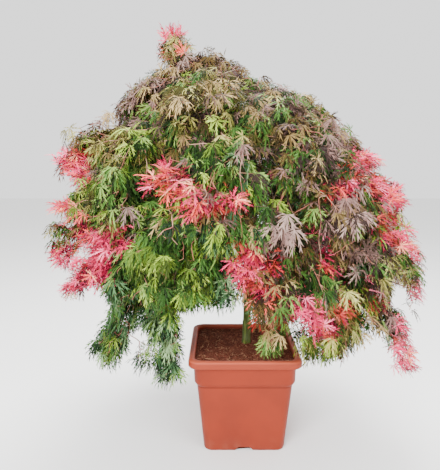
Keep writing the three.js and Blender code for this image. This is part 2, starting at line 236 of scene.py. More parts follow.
# The crown's outline in the same frame: a row and its left and right ends there. These are ends
# that a program measured in bands of 10 rows, thinned out and mostly widened by a few pixels.
OUTLINE = [
    (22, 167, 179),
    (29, 158, 184),
    (44, 161, 186),
    (54, 160, 224),
    (66, 150, 262),
    (86, 132, 285),
    (106, 116, 316),
    (120, 100, 332),
    (127, 76, 337),
    (146, 58, 353),
    (157, 51, 378),
    (168, 57, 384),
    (176, 66, 372),
    (184, 68, 398),
    (206, 51, 410),
    (250, 49, 420),
    (297, 58, 422),
    (303, 112, 421),
    (318, 112, 416),
    (336, 102, 413),
    (346, 92, 414),
    (374, 104, 418),
    (390, 150, 300),
]
# Sprays that fill the same frame between the solids: centre, half size and place from back to front.
FILLS = [
    ("collar_top", 174, 47, 8, 6, 0.00),
    ("collar_front", 177, 57, 8, 6, -0.02),
    ("low_left_head", 160, 312, 16, 9, -0.12),
    ("low_left_stem_side", 170, 335, 8, 11, -0.12),
    ("low_left_foot", 170, 360, 9, 12, -0.10),
    ("low_left_middle", 146, 352, 8, 7, -0.08),
    ("low_left_outer", 120, 328, 11, 9, -0.08),
    ("low_left_tip", 107, 346, 9, 7, -0.06),
    ("left_arm_first", 62, 162, 10, 5, -0.06),
    ("left_arm_second", 61, 208, 9, 3, -0.06),
    ("left_arm_third", 58, 228, 9, 3, -0.06),
    ("left_arm_fourth", 62, 256, 12, 5, -0.06),
    ("left_arm_last", 70, 296, 10, 6, -0.06),
    ("right_arm_upper", 372, 157, 9, 4, -0.04),
    ("right_arm_lower", 392, 187, 10, 4, -0.04),
    ("centre_drop_back", 276, 290, 18, 20, -0.10),
    ("centre_drop_middle", 271, 288, 18, 22, -0.20),
    ("centre_drop_front", 268, 280, 18, 20, -0.30),
    ("centre_drop_head", 264, 272, 18, 18, -0.25),
    ("centre_drop_foot", 272, 312, 12, 8, -0.18),
    ("right_middle", 362, 262, 24, 26, -0.04),
    ("swag_left", 179, 181, 19, 7, -0.37),
    ("swag_right", 208, 198, 24, 9, -0.375),
    ("centre_rose", 254, 252, 13, 14, -0.34),
    ("right_back", 352, 250, 24, 34, 0.07),
]
# Long bare trails down the front: across, top and foot in the same frame.
TRAILS = [
    ("before_swag", 184, 130, 168),
    ("before_middle", 215, 122, 172),
    ("over_rose", 241, 150, 243),
    ("low_right", 300, 262, 305),
    ("right", 320, 198, 288),
    ("far_right", 350, 232, 300),
    ("left", 146, 150, 200),
    ("right_of_rose", 272, 170, 232),
]


class Wire:
    """A node's output. Arithmetic on it adds the Math node that does the sum."""

    def __init__(self, tree, output):
        self.tree = tree
        self.output = output

    def node(self, kind, inputs, result=0, **settings):
        """Adds any node, feeds its inputs by name or number, and returns one of its outputs."""
        made = self.tree.nodes.new(kind)
        for key, value in settings.items():
            setattr(made, key, value)
        for key, value in inputs.items():
            feed(self.tree, made.inputs[key], value)
        return Wire(self.tree, made.outputs[result])

    def sum_of(self, operation, first, second):
        return self.node("ShaderNodeMath", {0: first, 1: second}, operation=operation)

    def __add__(self, other):
        return self.sum_of("ADD", self, other)

    def __radd__(self, other):
        return self.sum_of("ADD", other, self)

    def __sub__(self, other):
        return self.sum_of("SUBTRACT", self, other)

    def __rsub__(self, other):
        return self.sum_of("SUBTRACT", other, self)

    def __mul__(self, other):
        return self.sum_of("MULTIPLY", self, other)

    def __rmul__(self, other):
        return self.sum_of("MULTIPLY", other, self)

    def stretched(self, x, y, z):
        """A place scaled along each axis, so that a pattern on it is drawn out."""
        scale = {0: self, 1: (x, y, z)}
        return self.node("ShaderNodeVectorMath", scale, operation="MULTIPLY")

    def part(self, axis):
        """One coordinate of a place."""
        return self.node("ShaderNodeSeparateXYZ", {0: self}, result=axis)

    def grain(self, scale, detail=4.0, roughness=0.55):
        """Noise from 0 to 1 at this place."""
        inputs = {"Vector": self, "Scale": scale, "Detail": detail, "Roughness": roughness}
        return self.node("ShaderNodeTexNoise", inputs)

    def crumbs(self, scale):
        """The distance to the middle of the nearest cell at this place."""
        return self.node("ShaderNodeTexVoronoi", {"Vector": self, "Scale": scale})

    def between(self, low, high):
        """0 below low and 1 above high, with a smooth step between them."""
        inputs = {"Value": self, "From Min": low, "From Max": high}
        return self.node("ShaderNodeMapRange", inputs, interpolation_type="SMOOTHSTEP")

    def blend(self, first, second):
        """The first colour where this is 0 and the second where it is 1."""
        made = self.tree.nodes.new("ShaderNodeMix")
        made.data_type = "RGBA"
        colours = [s for s in made.inputs if s.type == "RGBA"]
        feed(self.tree, made.inputs["Factor"], self)
        feed(self.tree, colours[0], first)
        feed(self.tree, colours[1], second)
        return Wire(self.tree, [s for s in made.outputs if s.type == "RGBA"][0])

    def relief(self, height, strength, distance):
        """A bumped normal from a height."""
        inputs = {"Height": height, "Strength": strength, "Distance": distance}
        return self.node("ShaderNodeBump", inputs)


def feed(tree, socket, value):
    """Links a wire to a socket, or sets the socket to a plain value."""
    if isinstance(value, Wire):
        tree.links.new(value.output, socket)
    elif socket.type == "RGBA" and len(value) == 3:
        socket.default_value = (*value, 1.0)
    else:
        socket.default_value = value


def new_finish(name, colour, roughness, gloss=0.5):
    """A material with a plain colour. Returns it with its shader's inputs and its place wire."""
    finish = bpy.data.materials.new(name)
    finish.use_nodes = True
    tree = finish.node_tree
    shader = tree.nodes["Principled BSDF"]
    shader.inputs["Base Color"].default_value = (*colour, 1.0)
    shader.inputs["Roughness"].default_value = roughness
    shader.inputs["Specular IOR Level"].default_value = gloss
    finish.diffuse_color = (*colour, 1.0)
    place = Wire(tree, tree.nodes.new("ShaderNodeTexCoord").outputs["Object"])
    return finish, shader.inputs, place


def moulded_plastic(colour, top):
    """Satin plastic: cloudy, with painted light on the rim and paler still on its top, painted shade
    under its steps, dusty at the foot.
    """
    finish, shader, place = new_finish("moulded plastic", colour, 0.42, 0.12)
    tree = place.tree
    cloud = place.grain(9.0, 3.0).between(0.35, 0.68)
    dull = [0.92 * c + 0.003 for c in colour]
    bright = [1.08 * c + 0.002 for c in colour]
    fine = place.grain(700.0, 2.0)
    tone = cloud.blend(dull, bright)
    level = place.part(2)
    # Painted light: the rim is paler, and its top paler still, standing in for light on the lip.
    tone = (level.between(top - 0.024, top - 0.019) * 0.8).blend(tone, (0.245, 0.040, 0.019))
    tone = (level.between(top - 0.007, top - 0.002) * 0.9).blend(tone, (0.420, 0.085, 0.042))
    # Painted shade: thin dark lines just under the rim and under the collar's lower edge, where the
    # steps overhang.
    for step in (top - 0.0225, 0.1945):
        shade = level.between(step + 0.0012, step) * level.between(step - 0.0035, step)
        tone = (shade * 0.75).blend(tone, [0.3 * c for c in colour])
    dust = level.between(0.05, 0.0) * place.grain(38.0, 5.0).between(0.42, 0.7) * 0.35
    feed(tree, shader["Base Color"], dust.blend(tone, (0.24, 0.08, 0.05)))
    feed(tree, shader["Roughness"], place.grain(26.0, 4.0) * 0.16 + 0.36 + dust * 0.4)
    feed(tree, shader["Normal"], place.relief(fine, 0.16, 0.0006))
    return finish


def compost(colour):
    """Dark moist compost, redder and paler on its crumbs."""
    finish, shader, place = new_finish("compost", colour, 0.92, 0.15)
    tree = place.tree
    crumb = place.crumbs(210.0)
    speck = place.grain(330.0, 6.0, 0.7).between(0.5, 0.72)
    tone = crumb.between(0.1, 0.75).blend([0.5 * c for c in colour], [1.7 * c for c in colour])
    feed(tree, shader["Base Color"], (speck * 0.55).blend(tone, (0.17, 0.075, 0.045)))
    feed(tree, shader["Normal"], place.relief(crumb + speck * 0.4, 0.7, 0.003))
    return finish


def green_bark(colour):
    """Smooth young bark, streaked along the stem, greyer and bloomed towards the soil."""
    finish, shader, place = new_finish("green bark", colour, 0.6, 0.1)
    tree = place.tree
    drawn = place.stretched(1.0, 1.0, 0.08)
    streak = drawn.grain(190.0, 5.0).between(0.38, 0.66)
    dark = [0.55 * c for c in colour]
    pale = [1.6 * c + 0.01 for c in colour]
    tone = streak.blend(dark, pale)
    bloom = place.part(2).between(SOIL_TOP + 0.085, SOIL_TOP + 0.005)
    flecks = place.stretched(1.0, 1.0, 2.6).grain(260.0, 2.0).between(0.66, 0.74)
    grey = (bloom * 0.3 * place.grain(60.0).between(0.3, 0.6)).blend(tone, (0.20, 0.23, 0.14))
    feed(tree, shader["Base Color"], (flecks * 0.5).blend(grey, (0.30, 0.27, 0.15)))
    feed(tree, shader["Roughness"], streak * 0.18 + 0.45)
    feed(tree, shader["Normal"], place.relief(streak + flecks, 0.25, 0.0012))
    return finish


def brown_bark(colour):
    """Bough bark, mottled brown and olive with fine dark cracks."""
    finish, shader, place = new_finish("brown bark", colour, 0.78, 0.25)
    tree = place.tree
    patch = place.grain(55.0, 5.0).between(0.4, 0.62)
    crack = place.grain(420.0, 4.0).between(0.45, 0.7)
    tone = patch.blend([0.7 * c for c in colour], (0.15, 0.15, 0.06))
    feed(tree, shader["Base Color"], (crack * 0.6).blend(tone, [0.4 * c for c in colour]))
    feed(tree, shader["Normal"], place.relief(patch - crack, 0.4, 0.0015))
    return finish


def plain_finishes(name, tones, roughness):
    """One plain material for each tone of a kind of small piece."""
    tones = enumerate(tones)
    return [new_finish(f"{name} {i + 1}", tone, roughness, 0.08)[0] for i, tone in tones]


# ---- sizes and colours that a user would change -------------------------------------------


def length(name, description, default):
    """A setting in metres."""
    return FloatProperty(name=name, description=description, default=default, unit="LENGTH")


def colour_of(name, description, default):
    """A setting that is a linear colour."""
    return FloatVectorProperty(
        name=name, description=description, default=default, size=3, subtype="COLOR"
    )


class PotSettings(bpy.types.PropertyGroup):
    """Sizes and colour of the pot."""

    height: length("Height", "Height of the pot", POT_HIGH.z)
    rim_half: length(
        "Rim half width", "From the pot's axis to the outside of its rim", POT_HIGH.x
    )
    wall: length("Wall", "Thickness of the wall", 0.004)
    notch_width: length("Notch", "Width of each notch at the foot", 0.052)
    colour: colour_of("Plastic", "Colour of the plastic", (0.190, 0.023, 0.009))


class SoilSettings(bpy.types.PropertyGroup):
    """The compost and the chips on it."""

    roughness: length("Roughness", "How far the surface rises and falls", 0.0035)
    chips: IntProperty(name="Chips", description="Number of bark chips and fibres", default=3400)
    colour: colour_of("Compost", "Colour of the compost", (0.140, 0.042, 0.025))


class WoodSettings(bpy.types.PropertyGroup):
    """The stem, the boughs and the twigs."""

    stem_colour: colour_of("Stem", "Colour of the stem's bark", (0.088, 0.120, 0.018))
    bough_colour: colour_of("Boughs", "Colour of the boughs' bark", (0.135, 0.085, 0.050))
    twig_radius: length("Twig", "Radius of the finest twig", 0.0007)


class CrownSettings(bpy.types.PropertyGroup):
    """How the crown grows."""

    seed: IntProperty(name="Seed", description="Start of the branching rule", default=7)
    spacing: length("Spacing", "Least distance between two pairs of leaves", 0.0156)
    leaf: length("Leaf", "Length of a hanging leaf", 0.046)
    shoots: IntProperty(
        name="Shoots", description="Number of arching shoots over the surface", default=230
    )
    shoot_step: length("Shoot step", "Distance between two pairs of leaves on a shoot", 0.022)
    petiole: length("Petiole", "Length of a leaf's stalk", 0.020)
    spill: length("Spill", "How far a leaf may reach out of the foliage solids", 0.012)


class StageSettings(bpy.types.PropertyGroup):
    """Camera, floor and lights."""

    place: FloatVectorProperty(
        name="Camera",
        description="Place of the camera",
        default=(-0.0668, -1.3427, 0.8033),
        size=3,
        subtype="TRANSLATION",
    )
    dip: FloatProperty(
        name="Dip", description="Angle below level", default=0.1607, subtype="ANGLE"
    )
    focal: FloatProperty(
        name="Focal length", description="In pixels of the 440 by 470 frame", default=486.8
    )
    sky: FloatProperty(name="Sky", description="Strength of the light all round", default=1.7)
    key: FloatProperty(
        name="Key", description="Power of the main lamp", default=190.0, unit="POWER"
    )


# ---- helpers ------------------------------------------------------------------------------


def start_clean():
    """Leaves nothing selected, so that an operator acts only on what comes next."""
    bpy.ops.object.select_all(action="DESELECT")


def apply_all(piece):
    """Applies the modifiers of a piece and puts its place into its mesh."""
    bpy.context.view_layer.objects.active = piece
    for modifier in list(piece.modifiers):
        bpy.ops.object.modifier_apply(modifier=modifier.name)
    bpy.ops.object.transform_apply(location=True, rotation=True, scale=True)


def hand_over(piece, nodes=()):
    """Ties a finished piece to the frame."""
    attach(piece, "root")
    if nodes:
        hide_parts(*nodes)
    piece.select_set(False)


def joined_piece(name, corners, triangles, tones, finishes, smooth=False):
    """One mesh from arrays: corners, triangles and the number of each triangle's finish."""
    mesh = bpy.data.meshes.new(name)
    mesh.vertices.add(len(corners))
    mesh.vertices.foreach_set("co", np.asarray(corners, np.float32).ravel())
    mesh.loops.add(3 * len(triangles))
    mesh.loops.foreach_set("vertex_index", np.asarray(triangles, np.int32).ravel())
    mesh.polygons.add(len(triangles))
    mesh.polygons.foreach_set("loop_start", np.arange(0, 3 * len(triangles), 3, dtype=np.int32))
    mesh.polygons.foreach_set("material_index", np.asarray(tones, np.int32))
    mesh.update(calc_edges=True)
    mesh.validate()
    if smooth:
        mesh.shade_smooth()
    else:
        mesh.shade_flat()
    for finish in finishes:
        mesh.materials.append(finish)
    piece = bpy.data.objects.new(name, mesh)
    bpy.context.scene.collection.objects.link(piece)
    return piece


def unit(vectors):
    """Each row at length 1."""
    length = np.linalg.norm(vectors, axis=-1, keepdims=True)
    return vectors / np.maximum(length, 1e-9)


def corners_of(name):
    """The corners of a CAD node."""
    mesh = frame["nodes"][name].data
    corners = np.zeros(3 * len(mesh.vertices), np.float32)
    mesh.vertices.foreach_get("co", corners)
    return corners.reshape(-1, 3).astype(float)


def camera_axes(stage):
    """The camera's place, and its right, up and forward directions."""
    dip = stage.dip
    right = np.array([1.0, 0.0, 0.0])
    up = np.array([0.0, math.sin(dip), math.cos(dip)])
    ahead = np.array([0.0, math.cos(dip), -math.sin(dip)])
    return np.array(stage.place), right, up, ahead


def in_frame(points, stage):
    """Where points fall in the camera's frame, in pixels from its top left corner."""
    eye, right, up, ahead = camera_axes(stage)
    away = points - eye
    depth = away @ ahead
    across = FRAME_SIZE[0] / 2 + stage.focal * (away @ right) / depth
    down = FRAME_SIZE[1] / 2 - stage.focal * (away @ up) / depth
    return np.stack([across, down], axis=1)


# ---- the pot and its compost --------------------------------------------------------------

CORNER_SHARE = 0.19  # corner radius as a share of the half width
FOOT_HALF = 0.111
FLOOR = 0.011
PAD_HALF = 0.040
SKIRT = 0.007
NOTCH_HEIGHT = 0.011
SOIL_HALF = 0.1332
NOTCH_FOOT = 1.385  # the cutter's foot as a share of the notch's width at the ground


def pot_profile(pot):
    """Half width and height of each ring, from the inner floor over the rim to the pad."""
    rim, top, wall = pot.rim_half, pot.height, pot.wall
    return [
        (FOOT_HALF - wall, FLOOR + wall),
        (0.129 - wall, 0.195),
        (0.135 - wall, 0.206),
        (0.137 - wall, top - 0.022),
        (rim - 0.0170, top - 0.0045),
        (rim - 0.0155, top - 0.0015),
        (rim - 0.0125, top),
        (rim - 0.0055, top),
        (rim - 0.0018, top - 0.0022),
        (rim, top - 0.0070),
        (rim, top - 0.0175),
        (rim - 0.0015, top - 0.0208),
        (rim - 0.0050, top - 0.0220),
        (0.1378, top - 0.0216),
        (0.1371, top - 0.0235),
        (0.1356, 0.2075),
        (0.1349, 0.2052),
        (0.1308, 0.1975),
        (0.1290, 0.1955),
        (0.1288, 0.1930),
        (0.1117, 0.0085),
        (0.1104, 0.0025),
        (0.1082, 0.0003),
        (0.1070, 0.0),
        (FOOT_HALF - SKIRT, 0.0),
        (FOOT_HALF - SKIRT, FLOOR),
        (PAD_HALF, FLOOR),
        (PAD_HALF, 0.0),
    ]


class MAPLE_OT_pot(bpy.types.Operator):
    """Moulds the square pot, from its inner floor over the rim to its foot"""

    bl_idname = "maple.pot"
    bl_label = "Pot"

    def execute(self, context):
        settings = context.scene.maple_pot
        profile = pot_profile(settings)
        start_clean()
        half, height = profile[0]
        bpy.ops.mesh.primitive_plane_add(size=2 * half, location=(0, 0, height))
        pot = context.object
        pot.name = "pot_shell"
        bpy.ops.object.mode_set(mode="EDIT")
        bpy.ops.mesh.bevel(offset=CORNER_SHARE * half, segments=8, affect="VERTICES")
        for next_half, next_height in profile[1:]:
            rise = {"value": (0, 0, next_height - height)}
            bpy.ops.mesh.extrude_region_move(TRANSFORM_OT_translate=rise)
            grow = next_half / half
            centre = (0, 0, next_height)
            bpy.ops.transform.resize(value=(grow, grow, 1), center_override=centre)
            half, height = next_half, next_height
        bpy.ops.mesh.select_all(action="SELECT")
        bpy.ops.mesh.normals_make_consistent(inside=False)
        bpy.ops.object.mode_set(mode="OBJECT")
        for turn in range(4):
            self.cut_notch(context, pot, settings.notch_width, turn * math.pi / 2)
        start_clean()
        pot.select_set(True)
        context.view_layer.objects.active = pot
        edge = pot.modifiers.new("edge", "BEVEL")
        edge.width = 0.0009
        edge.segments = 2
        edge.limit_method = "ANGLE"
        edge.angle_limit = math.radians(38)
        apply_all(pot)
        bpy.ops.object.shade_smooth_by_angle(angle=math.radians(32))
        pot.data.materials.append(moulded_plastic(settings.colour, settings.height))
        hand_over(pot, ["pot"])
        return {"FINISHED"}

    def cut_notch(self, context, pot, width, turn):
        """Cuts one notch, wider at the ground, through the standing edge."""
        start_clean()
        bpy.ops.mesh.primitive_cube_add(size=1, location=(0, 0, 0))
        cutter = context.object
        depth = 2 * SKIRT
        bpy.ops.object.mode_set(mode="EDIT")
        bpy.ops.transform.resize(value=(NOTCH_FOOT * width, depth, 2 * NOTCH_HEIGHT))
        bpy.ops.mesh.select_all(action="DESELECT")
        bpy.ops.object.mode_set(mode="OBJECT")
        for face in cutter.data.polygons:
            face.select = face.normal.z > 0.5
        bpy.ops.object.mode_set(mode="EDIT")
        bpy.ops.transform.resize(value=((2 - NOTCH_FOOT) / NOTCH_FOOT, 1, 1))
        bpy.ops.mesh.select_all(action="SELECT")
        bpy.ops.transform.translate(value=(0, -FOOT_HALF, 0))
        bpy.ops.object.mode_set(mode="OBJECT")
        cutter.rotation_euler.z = turn
        context.view_layer.update()
        cut = pot.modifiers.new("notch", "BOOLEAN")
        cut.operation = "DIFFERENCE"
        cut.object = cutter
        context.view_layer.objects.active = pot
        bpy.ops.object.modifier_apply(modifier=cut.name)
        bpy.data.objects.remove(cutter)


def soil_height(x, y, settings):
    """How far the compost stands above or below its level, in metres."""
    broad = noise.noise(Vector((21 * x, 21 * y, 3.0)))
    small = noise.noise(Vector((95 * x, 95 * y, 7.0)))
    crumb = noise.noise(Vector((290 * x, 290 * y, 11.0)))
    return settings.roughness * (0.55 * broad + 0.4 * small + 0.45 * crumb)


class MAPLE_OT_soil(bpy.types.Operator):
    """Fills the pot with compost and scatters bark chips and fibres on it"""

    bl_idname = "maple.soil"
    bl_label = "Compost"

    def execute(self, context):
        settings = context.scene.maple_soil
        start_clean()
        half = SOIL_HALF
        bpy.ops.mesh.primitive_grid_add(
            x_subdivisions=130, y_subdivisions=130, size=2 * half, location=(0, 0, SOIL_TOP)
        )
        soil = context.object
        soil.name = "compost"
        self.round_corners(soil, half)
        bpy.ops.object.mode_set(mode="EDIT")
        bpy.ops.mesh.select_all(action="SELECT")
        bpy.ops.mesh.extrude_region_move(TRANSFORM_OT_translate={"value": (0, 0, -0.05)})
        bpy.ops.transform.resize(value=(0.955, 0.955, 1), center_override=(0, 0, 0))
        bpy.ops.mesh.select_all(action="SELECT")
        bpy.ops.mesh.normals_make_consistent(inside=False)
        bpy.ops.object.mode_set(mode="OBJECT")
        top = SOIL_TOP - 0.02
        for vertex in soil.data.vertices:
            level = vertex.co.z + soil.location.z
            if level > top and max(abs(vertex.co.x), abs(vertex.co.y)) < half - 1e-4:
                vertex.co.z += soil_height(vertex.co.x, vertex.co.y, settings)
        apply_all(soil)
        bpy.ops.object.shade_smooth()
        soil.data.materials.append(compost(settings.colour))
        hand_over(soil, ["soil"])
        self.scatter(settings, half)
        return {"FINISHED"}

    def round_corners(self, soil, half):
        """Pulls the grid's corners in to the pot's round corners."""
        corner = CORNER_SHARE * half
        for vertex in soil.data.vertices:
            place = Vector((abs(vertex.co.x), abs(vertex.co.y)))
            middle = Vector((half - corner, half - corner))
            out = place - middle
            if out.x <= 0 or out.y <= 0:
                continue
            reach = max(out.x, out.y)
            place = middle + out.normalized() * reach
            vertex.co.x = math.copysign(place.x, vertex.co.x)
            vertex.co.y = math.copysign(place.y, vertex.co.y)

    def scatter(self, settings, half):
        """Lays slim chips on the compost, each one a flat, bent sliver."""
        count = settings.chips
        random = np.random.default_rng(5)
        spot = random.uniform(-half + 0.006, half - 0.006, (3 * count, 2))
        inner = half - CORNER_SHARE * half
        over = np.maximum(np.abs(spot) - inner, 0)
        keep = np.hypot(*over.T) < CORNER_SHARE * half - 0.007
        spot = spot[keep][:count]
        count = len(spot)
        level = [SOIL_TOP + soil_height(x, y, settings) for x, y in spot]
        length = random.uniform(0.003, 0.019, count)
        width = random.uniform(0.0007, 0.0020, count) * (0.6 + 25 * length)
        turn = random.uniform(0, 2 * math.pi, count)
        tilt = random.normal(0, 0.28, count)
        rise = random.uniform(-0.2, 0.35, count) * length
        template = np.array(
            [[-1, 0, 0], [-0.3, 1, 0.1], [0.4, 0.8, 0.15], [1, 0, 0], [0.3, -1, 0], [-0.4, -0.8, 0]]
        )
        template = np.concatenate([template, template * [0.9, 0.9, 1] - [0, 0, 0.6]])
        faces = [[0, 4, 1], [0, 5, 4], [1, 4, 2], [4, 3, 2]]
        faces += [[a + 6, c + 6, b + 6] for a, b, c in faces]
        for a in range(6):
            b = (a + 1) % 6
            faces += [[a, b, b + 6], [a, b + 6, a + 6]]
        faces = np.array(faces)
        local = template[None] * np.stack([length / 2, width / 2, width / 2], 1)[:, None]
        local[..., 2] += tilt[:, None] * local[..., 0]
        local[..., 2] -= 6.0 * local[..., 0] ** 2
        cos, sin = np.cos(turn)[:, None], np.sin(turn)[:, None]
        x = cos * local[..., 0] - sin * local[..., 1] + spot[:, :1]
        y = sin * local[..., 0] + cos * local[..., 1] + spot[:, 1:]
        z = local[..., 2] + np.array(level)[:, None] + rise[:, None] + 0.0004
        corners = np.stack([x, y, z], 2).reshape(-1, 3)
        triangles = (faces[None] + 12 * np.arange(count)[:, None, None]).reshape(-1, 3)
        tones = np.repeat(random.choice(3, count, p=[0.5, 0.36, 0.14]), len(faces))
        finishes = plain_finishes("bark chip", CHIP_TONES, 0.85)
        chips = joined_piece("compost_chips", corners, triangles, tones, finishes)
        hand_over(chips)


# ---- the stem and the boughs --------------------------------------------------------------


def stem_line(count=40):
    """Places along the middle of the stem, read off its CAD solid from the soil up."""
    corners = corners_of("trunk")
    levels = np.linspace(corners[:, 2].min(), corners[:, 2].max(), 11)
    rings = []
    for level in levels:
        near = corners[np.abs(corners[:, 2] - level) < 0.006]
        rings.append(near.mean(0) if len(near) > 5 else None)
    known = [i for i, ring in enumerate(rings) if ring is not None]
    middle = np.array([rings[i] for i in known])
    heights = np.linspace(levels[0], levels[-1], count)
    return np.stack(
        [np.interp(heights, middle[:, 2], middle[:, axis]) for axis in (0, 1)] + [heights], 1
    )


def bough_line(name, count=18):
    """Places along the middle of a bough, from inside the stem to its end in the foliage."""
    corners = corners_of(name)
    stem = stem_line()
    reach = np.linalg.norm(corners[:, None, :2] - stem[None, -8:, :2], axis=2).min(1)
    far = corners[np.argsort(reach)[-6:]].mean(0)
    near = corners[np.argsort(reach)[:8]].mean(0)
    share = (corners - near) @ (far - near) / ((far - near) @ (far - near))
    waist = corners[np.abs(share - 0.5) < 0.09]
    middle = (waist.min(0) + waist.max(0)) / 2 if len(waist) else (near + far) / 2
    foot = stem[np.argmin(np.abs(stem[:, 2] - near[2]))]
    control = 2 * middle - 0.5 * (foot + far)
    t = np.linspace(0, 1, count)[:, None]
    return (1 - t) ** 2 * foot + 2 * t * (1 - t) * control + t**2 * far


def limb(context, name, line, radii, sides):
    """A tapering limb: a path with a round section, turned into a mesh."""
    start_clean()
    bpy.ops.curve.primitive_nurbs_path_add(location=(0, 0, 0))
    path = context.object
    path.name = name
    curve = path.data
    curve.splines.clear()
    spline = curve.splines.new("POLY")
    spline.points.add(len(line) - 1)
    for point, place, radius in zip(spline.points, line, radii):
        point.co = (*place, 1.0)
        point.radius = radius
    curve.dimensions = "3D"
    curve.bevel_depth = 1.0
    curve.bevel_resolution = sides // 4 - 1
    curve.use_fill_caps = True
    bpy.ops.object.convert(target="MESH")
    made = context.object
    bpy.ops.object.mode_set(mode="EDIT")
    bpy.ops.mesh.select_all(action="SELECT")
    bpy.ops.mesh.remove_doubles(threshold=1e-6)
    bpy.ops.mesh.normals_make_consistent(inside=False)
    bpy.ops.object.mode_set(mode="OBJECT")
    return made


def roughen(piece, amount, around, along):
    """Raises and lowers the bark along its normals, drawn out along the limb."""
    mesh = piece.data
    normals = [vertex.normal.copy() for vertex in mesh.vertices]
    for vertex, normal in zip(mesh.vertices, normals):
        spot = Vector((around * normal.x, around * normal.y, along * vertex.co.z))
        spot += Vector((3 * vertex.co.x, 3 * vertex.co.y, 0))
        vertex.co += normal * amount * noise.fractal(spot, 1.0, 2.1, 4)
    mesh.update()


class MAPLE_OT_stem(bpy.types.Operator):
    """Raises the green stem from the compost to the head of the crown"""

    bl_idname = "maple.stem"
    bl_label = "Stem"

    def execute(self, context):
        settings = context.scene.maple_wood
        line = stem_line(150)
        line[0, 2] -= 0.004
        share = np.linspace(0, 1, len(line))
        flare = 0.0022 * np.maximum(0, 1 - share / 0.03) ** 2
        knot = 0.0011 * np.exp(-(((share - 0.105) / 0.012) ** 2))
        lower = 0.0008 * (1 - np.clip((share - 0.10) / 0.02, 0, 1))
        graft = 0.0016 * np.exp(-(((share - 0.82) / 0.05) ** 2))
        taper = 0.0020 * np.clip((share - 0.85) / 0.15, 0, 1)
        radii = 0.0113 + flare + knot + lower + graft - taper
        stem = limb(context, "stem", line, radii, 32)
        roughen(stem, 0.00045, 1.6, 14.0)
        bpy.ops.object.shade_smooth()
        stem.data.materials.append(green_bark(settings.stem_colour))
        hand_over(stem, ["trunk"])
        return {"FINISHED"}


class MAPLE_OT_boughs(bpy.types.Operator):
    """Bends the boughs out from the head of the stem into the foliage"""

    bl_idname = "maple.boughs"
    bl_label = "Boughs"

    def execute(self, context):
        settings = context.scene.maple_wood
        made = []
        for name in BOUGHS:
            line = bough_line(name, 22)
            share = np.linspace(0, 1, len(line))
            radii = 0.0066 * (1 - 0.5 * share) + 0.0022 * np.maximum(0, 1 - share / 0.12)
            wave = np.stack([np.sin(9 * share + len(name)), np.cos(7 * share)], 1)
            line[:, :2] += 0.0016 * wave * np.sin(math.pi * share)[:, None]
            bough = limb(context, name.replace("bough", "limb"), line, radii, 12)
            roughen(bough, 0.0007, 2.0, 45.0)
            made.append(bough)
        start_clean()
        for bough in made:
            bough.select_set(True)
        context.view_layer.objects.active = made[0]
        bpy.ops.object.join()
        boughs = context.object
        boughs.name = "boughs"
        bpy.ops.object.shade_smooth()
        boughs.data.materials.append(brown_bark(settings.bough_colour))
        hand_over(boughs, BOUGHS)
        return {"FINISHED"}


# ---- the growth of the crown --------------------------------------------------------------

CROWN_HEART = np.array([-0.02, 0.0, 0.60])
CLIMB_COST = 0.9  # a twig rather runs down than up
PATH_COST = 0.34  # a twig rather leaves from near the boughs
SPRAY_SIZE = 3
SHOOT_DROOP = 13.0  # how fast a shoot bends over, in 1/m
TRAIL_ROWS = 8  # rows of the frame from one joint of a trail to the next
TRAIL_NEAR = 9  # how near in pixels a joint must be seen to carry a trail
TRAIL_OUT = 0.028  # how far a trail hangs before its joint
TRAIL_STOUT = 0.15  # what a joint of a trail adds to the load of the wood
DARTS = 2.6  # points dealt for each cell's volume of the box about a foliage solid
SKIN = 0.004  # the least depth of a place in its solid
CLEFT_DARTS = 26000
CLEFT_REACH = 0.036  # how near both neighbours of a cleft have to be
CLEFT_SPACING = 1.2  # spacing in the clefts, as a share of the crown's
CLEFT_COVER = 0.03  # how deep a place in a cleft counts as lying
FILL_DARTS = 600
FILL_DEPTH = 0.0026  # how far a fill reaches from front to back, for each pixel of its half width
FILL_SPACING = 1.15
FILL_COVER = -0.01  # below 0: a spray outside every solid
BOX_CLEAR = 0.012  # free leaves keep this far inside the whole plant's box
POT_SIDE = 0.19  # half width of the square over the pot, for POT_LEVEL
STEM_SIDE = 0.13  # radius of the space about the stem, for STEM_LEVEL
# The least heights of free leaves: anywhere else, over the pot and about the stem.
FREE_LEVEL, POT_LEVEL, STEM_LEVEL = 0.27, 0.34, 0.52


class Foliage:
    """The foliage solids, as shapes that a point can be tested against."""

    def __init__(self):
        self.shapes = {}
        self.low = []
        self.high = []
        for name in MASSES:
            mesh = frame["nodes"][name].data
            corners = [v.co for v in mesh.vertices]
            faces = [tuple(p.vertices) for p in mesh.polygons]
            self.shapes[name] = BVHTree.FromPolygons(corners, faces)
            low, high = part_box(name)
            self.low.append(low)
            self.high.append(high)
        self.low = np.array(self.low)
        self.high = np.array(self.high)

    def depth(self, name, point):
        """How deep a point lies in a solid, in metres, and below 0 outside it."""
        place, normal, _, away = self.shapes[name].find_nearest(Vector(point))
        inside = (Vector(point) - place).dot(normal) < 0
        return away if inside else -away

    def neighbours(self, point, margin):
        """The solids within the margin of a point, or none where it lies inside a solid."""
        near = np.all((point > self.low - margin) & (point < self.high + margin), axis=1)
        depths = {i: self.depth(MASSES[i], point) for i in np.flatnonzero(near)}
        if max(depths.values(), default=0) > 0:
            return []
        return [i for i, depth in depths.items() if depth > -margin]

    def depth_in_any(self, point, margin):
        """The greatest depth in any solid whose box is within the margin."""
        near = np.all((point > self.low - margin) & (point < self.high + margin), axis=1)
        depths = [self.depth(MASSES[i], point) for i in np.flatnonzero(near)]
        return max(depths, default=-1.0)


def open_sky(points, stage):
    """Which points lie where the sky shows through the crown."""
    spots = in_frame(points, stage)
    clear = np.zeros(len(points), bool)
    for _, x, y, half_width, half_height in SKY:
        away = ((spots[:, 0] - x) / half_width) ** 2 + ((spots[:, 1] - y) / half_height) ** 2
        clear |= away < 1
    return clear


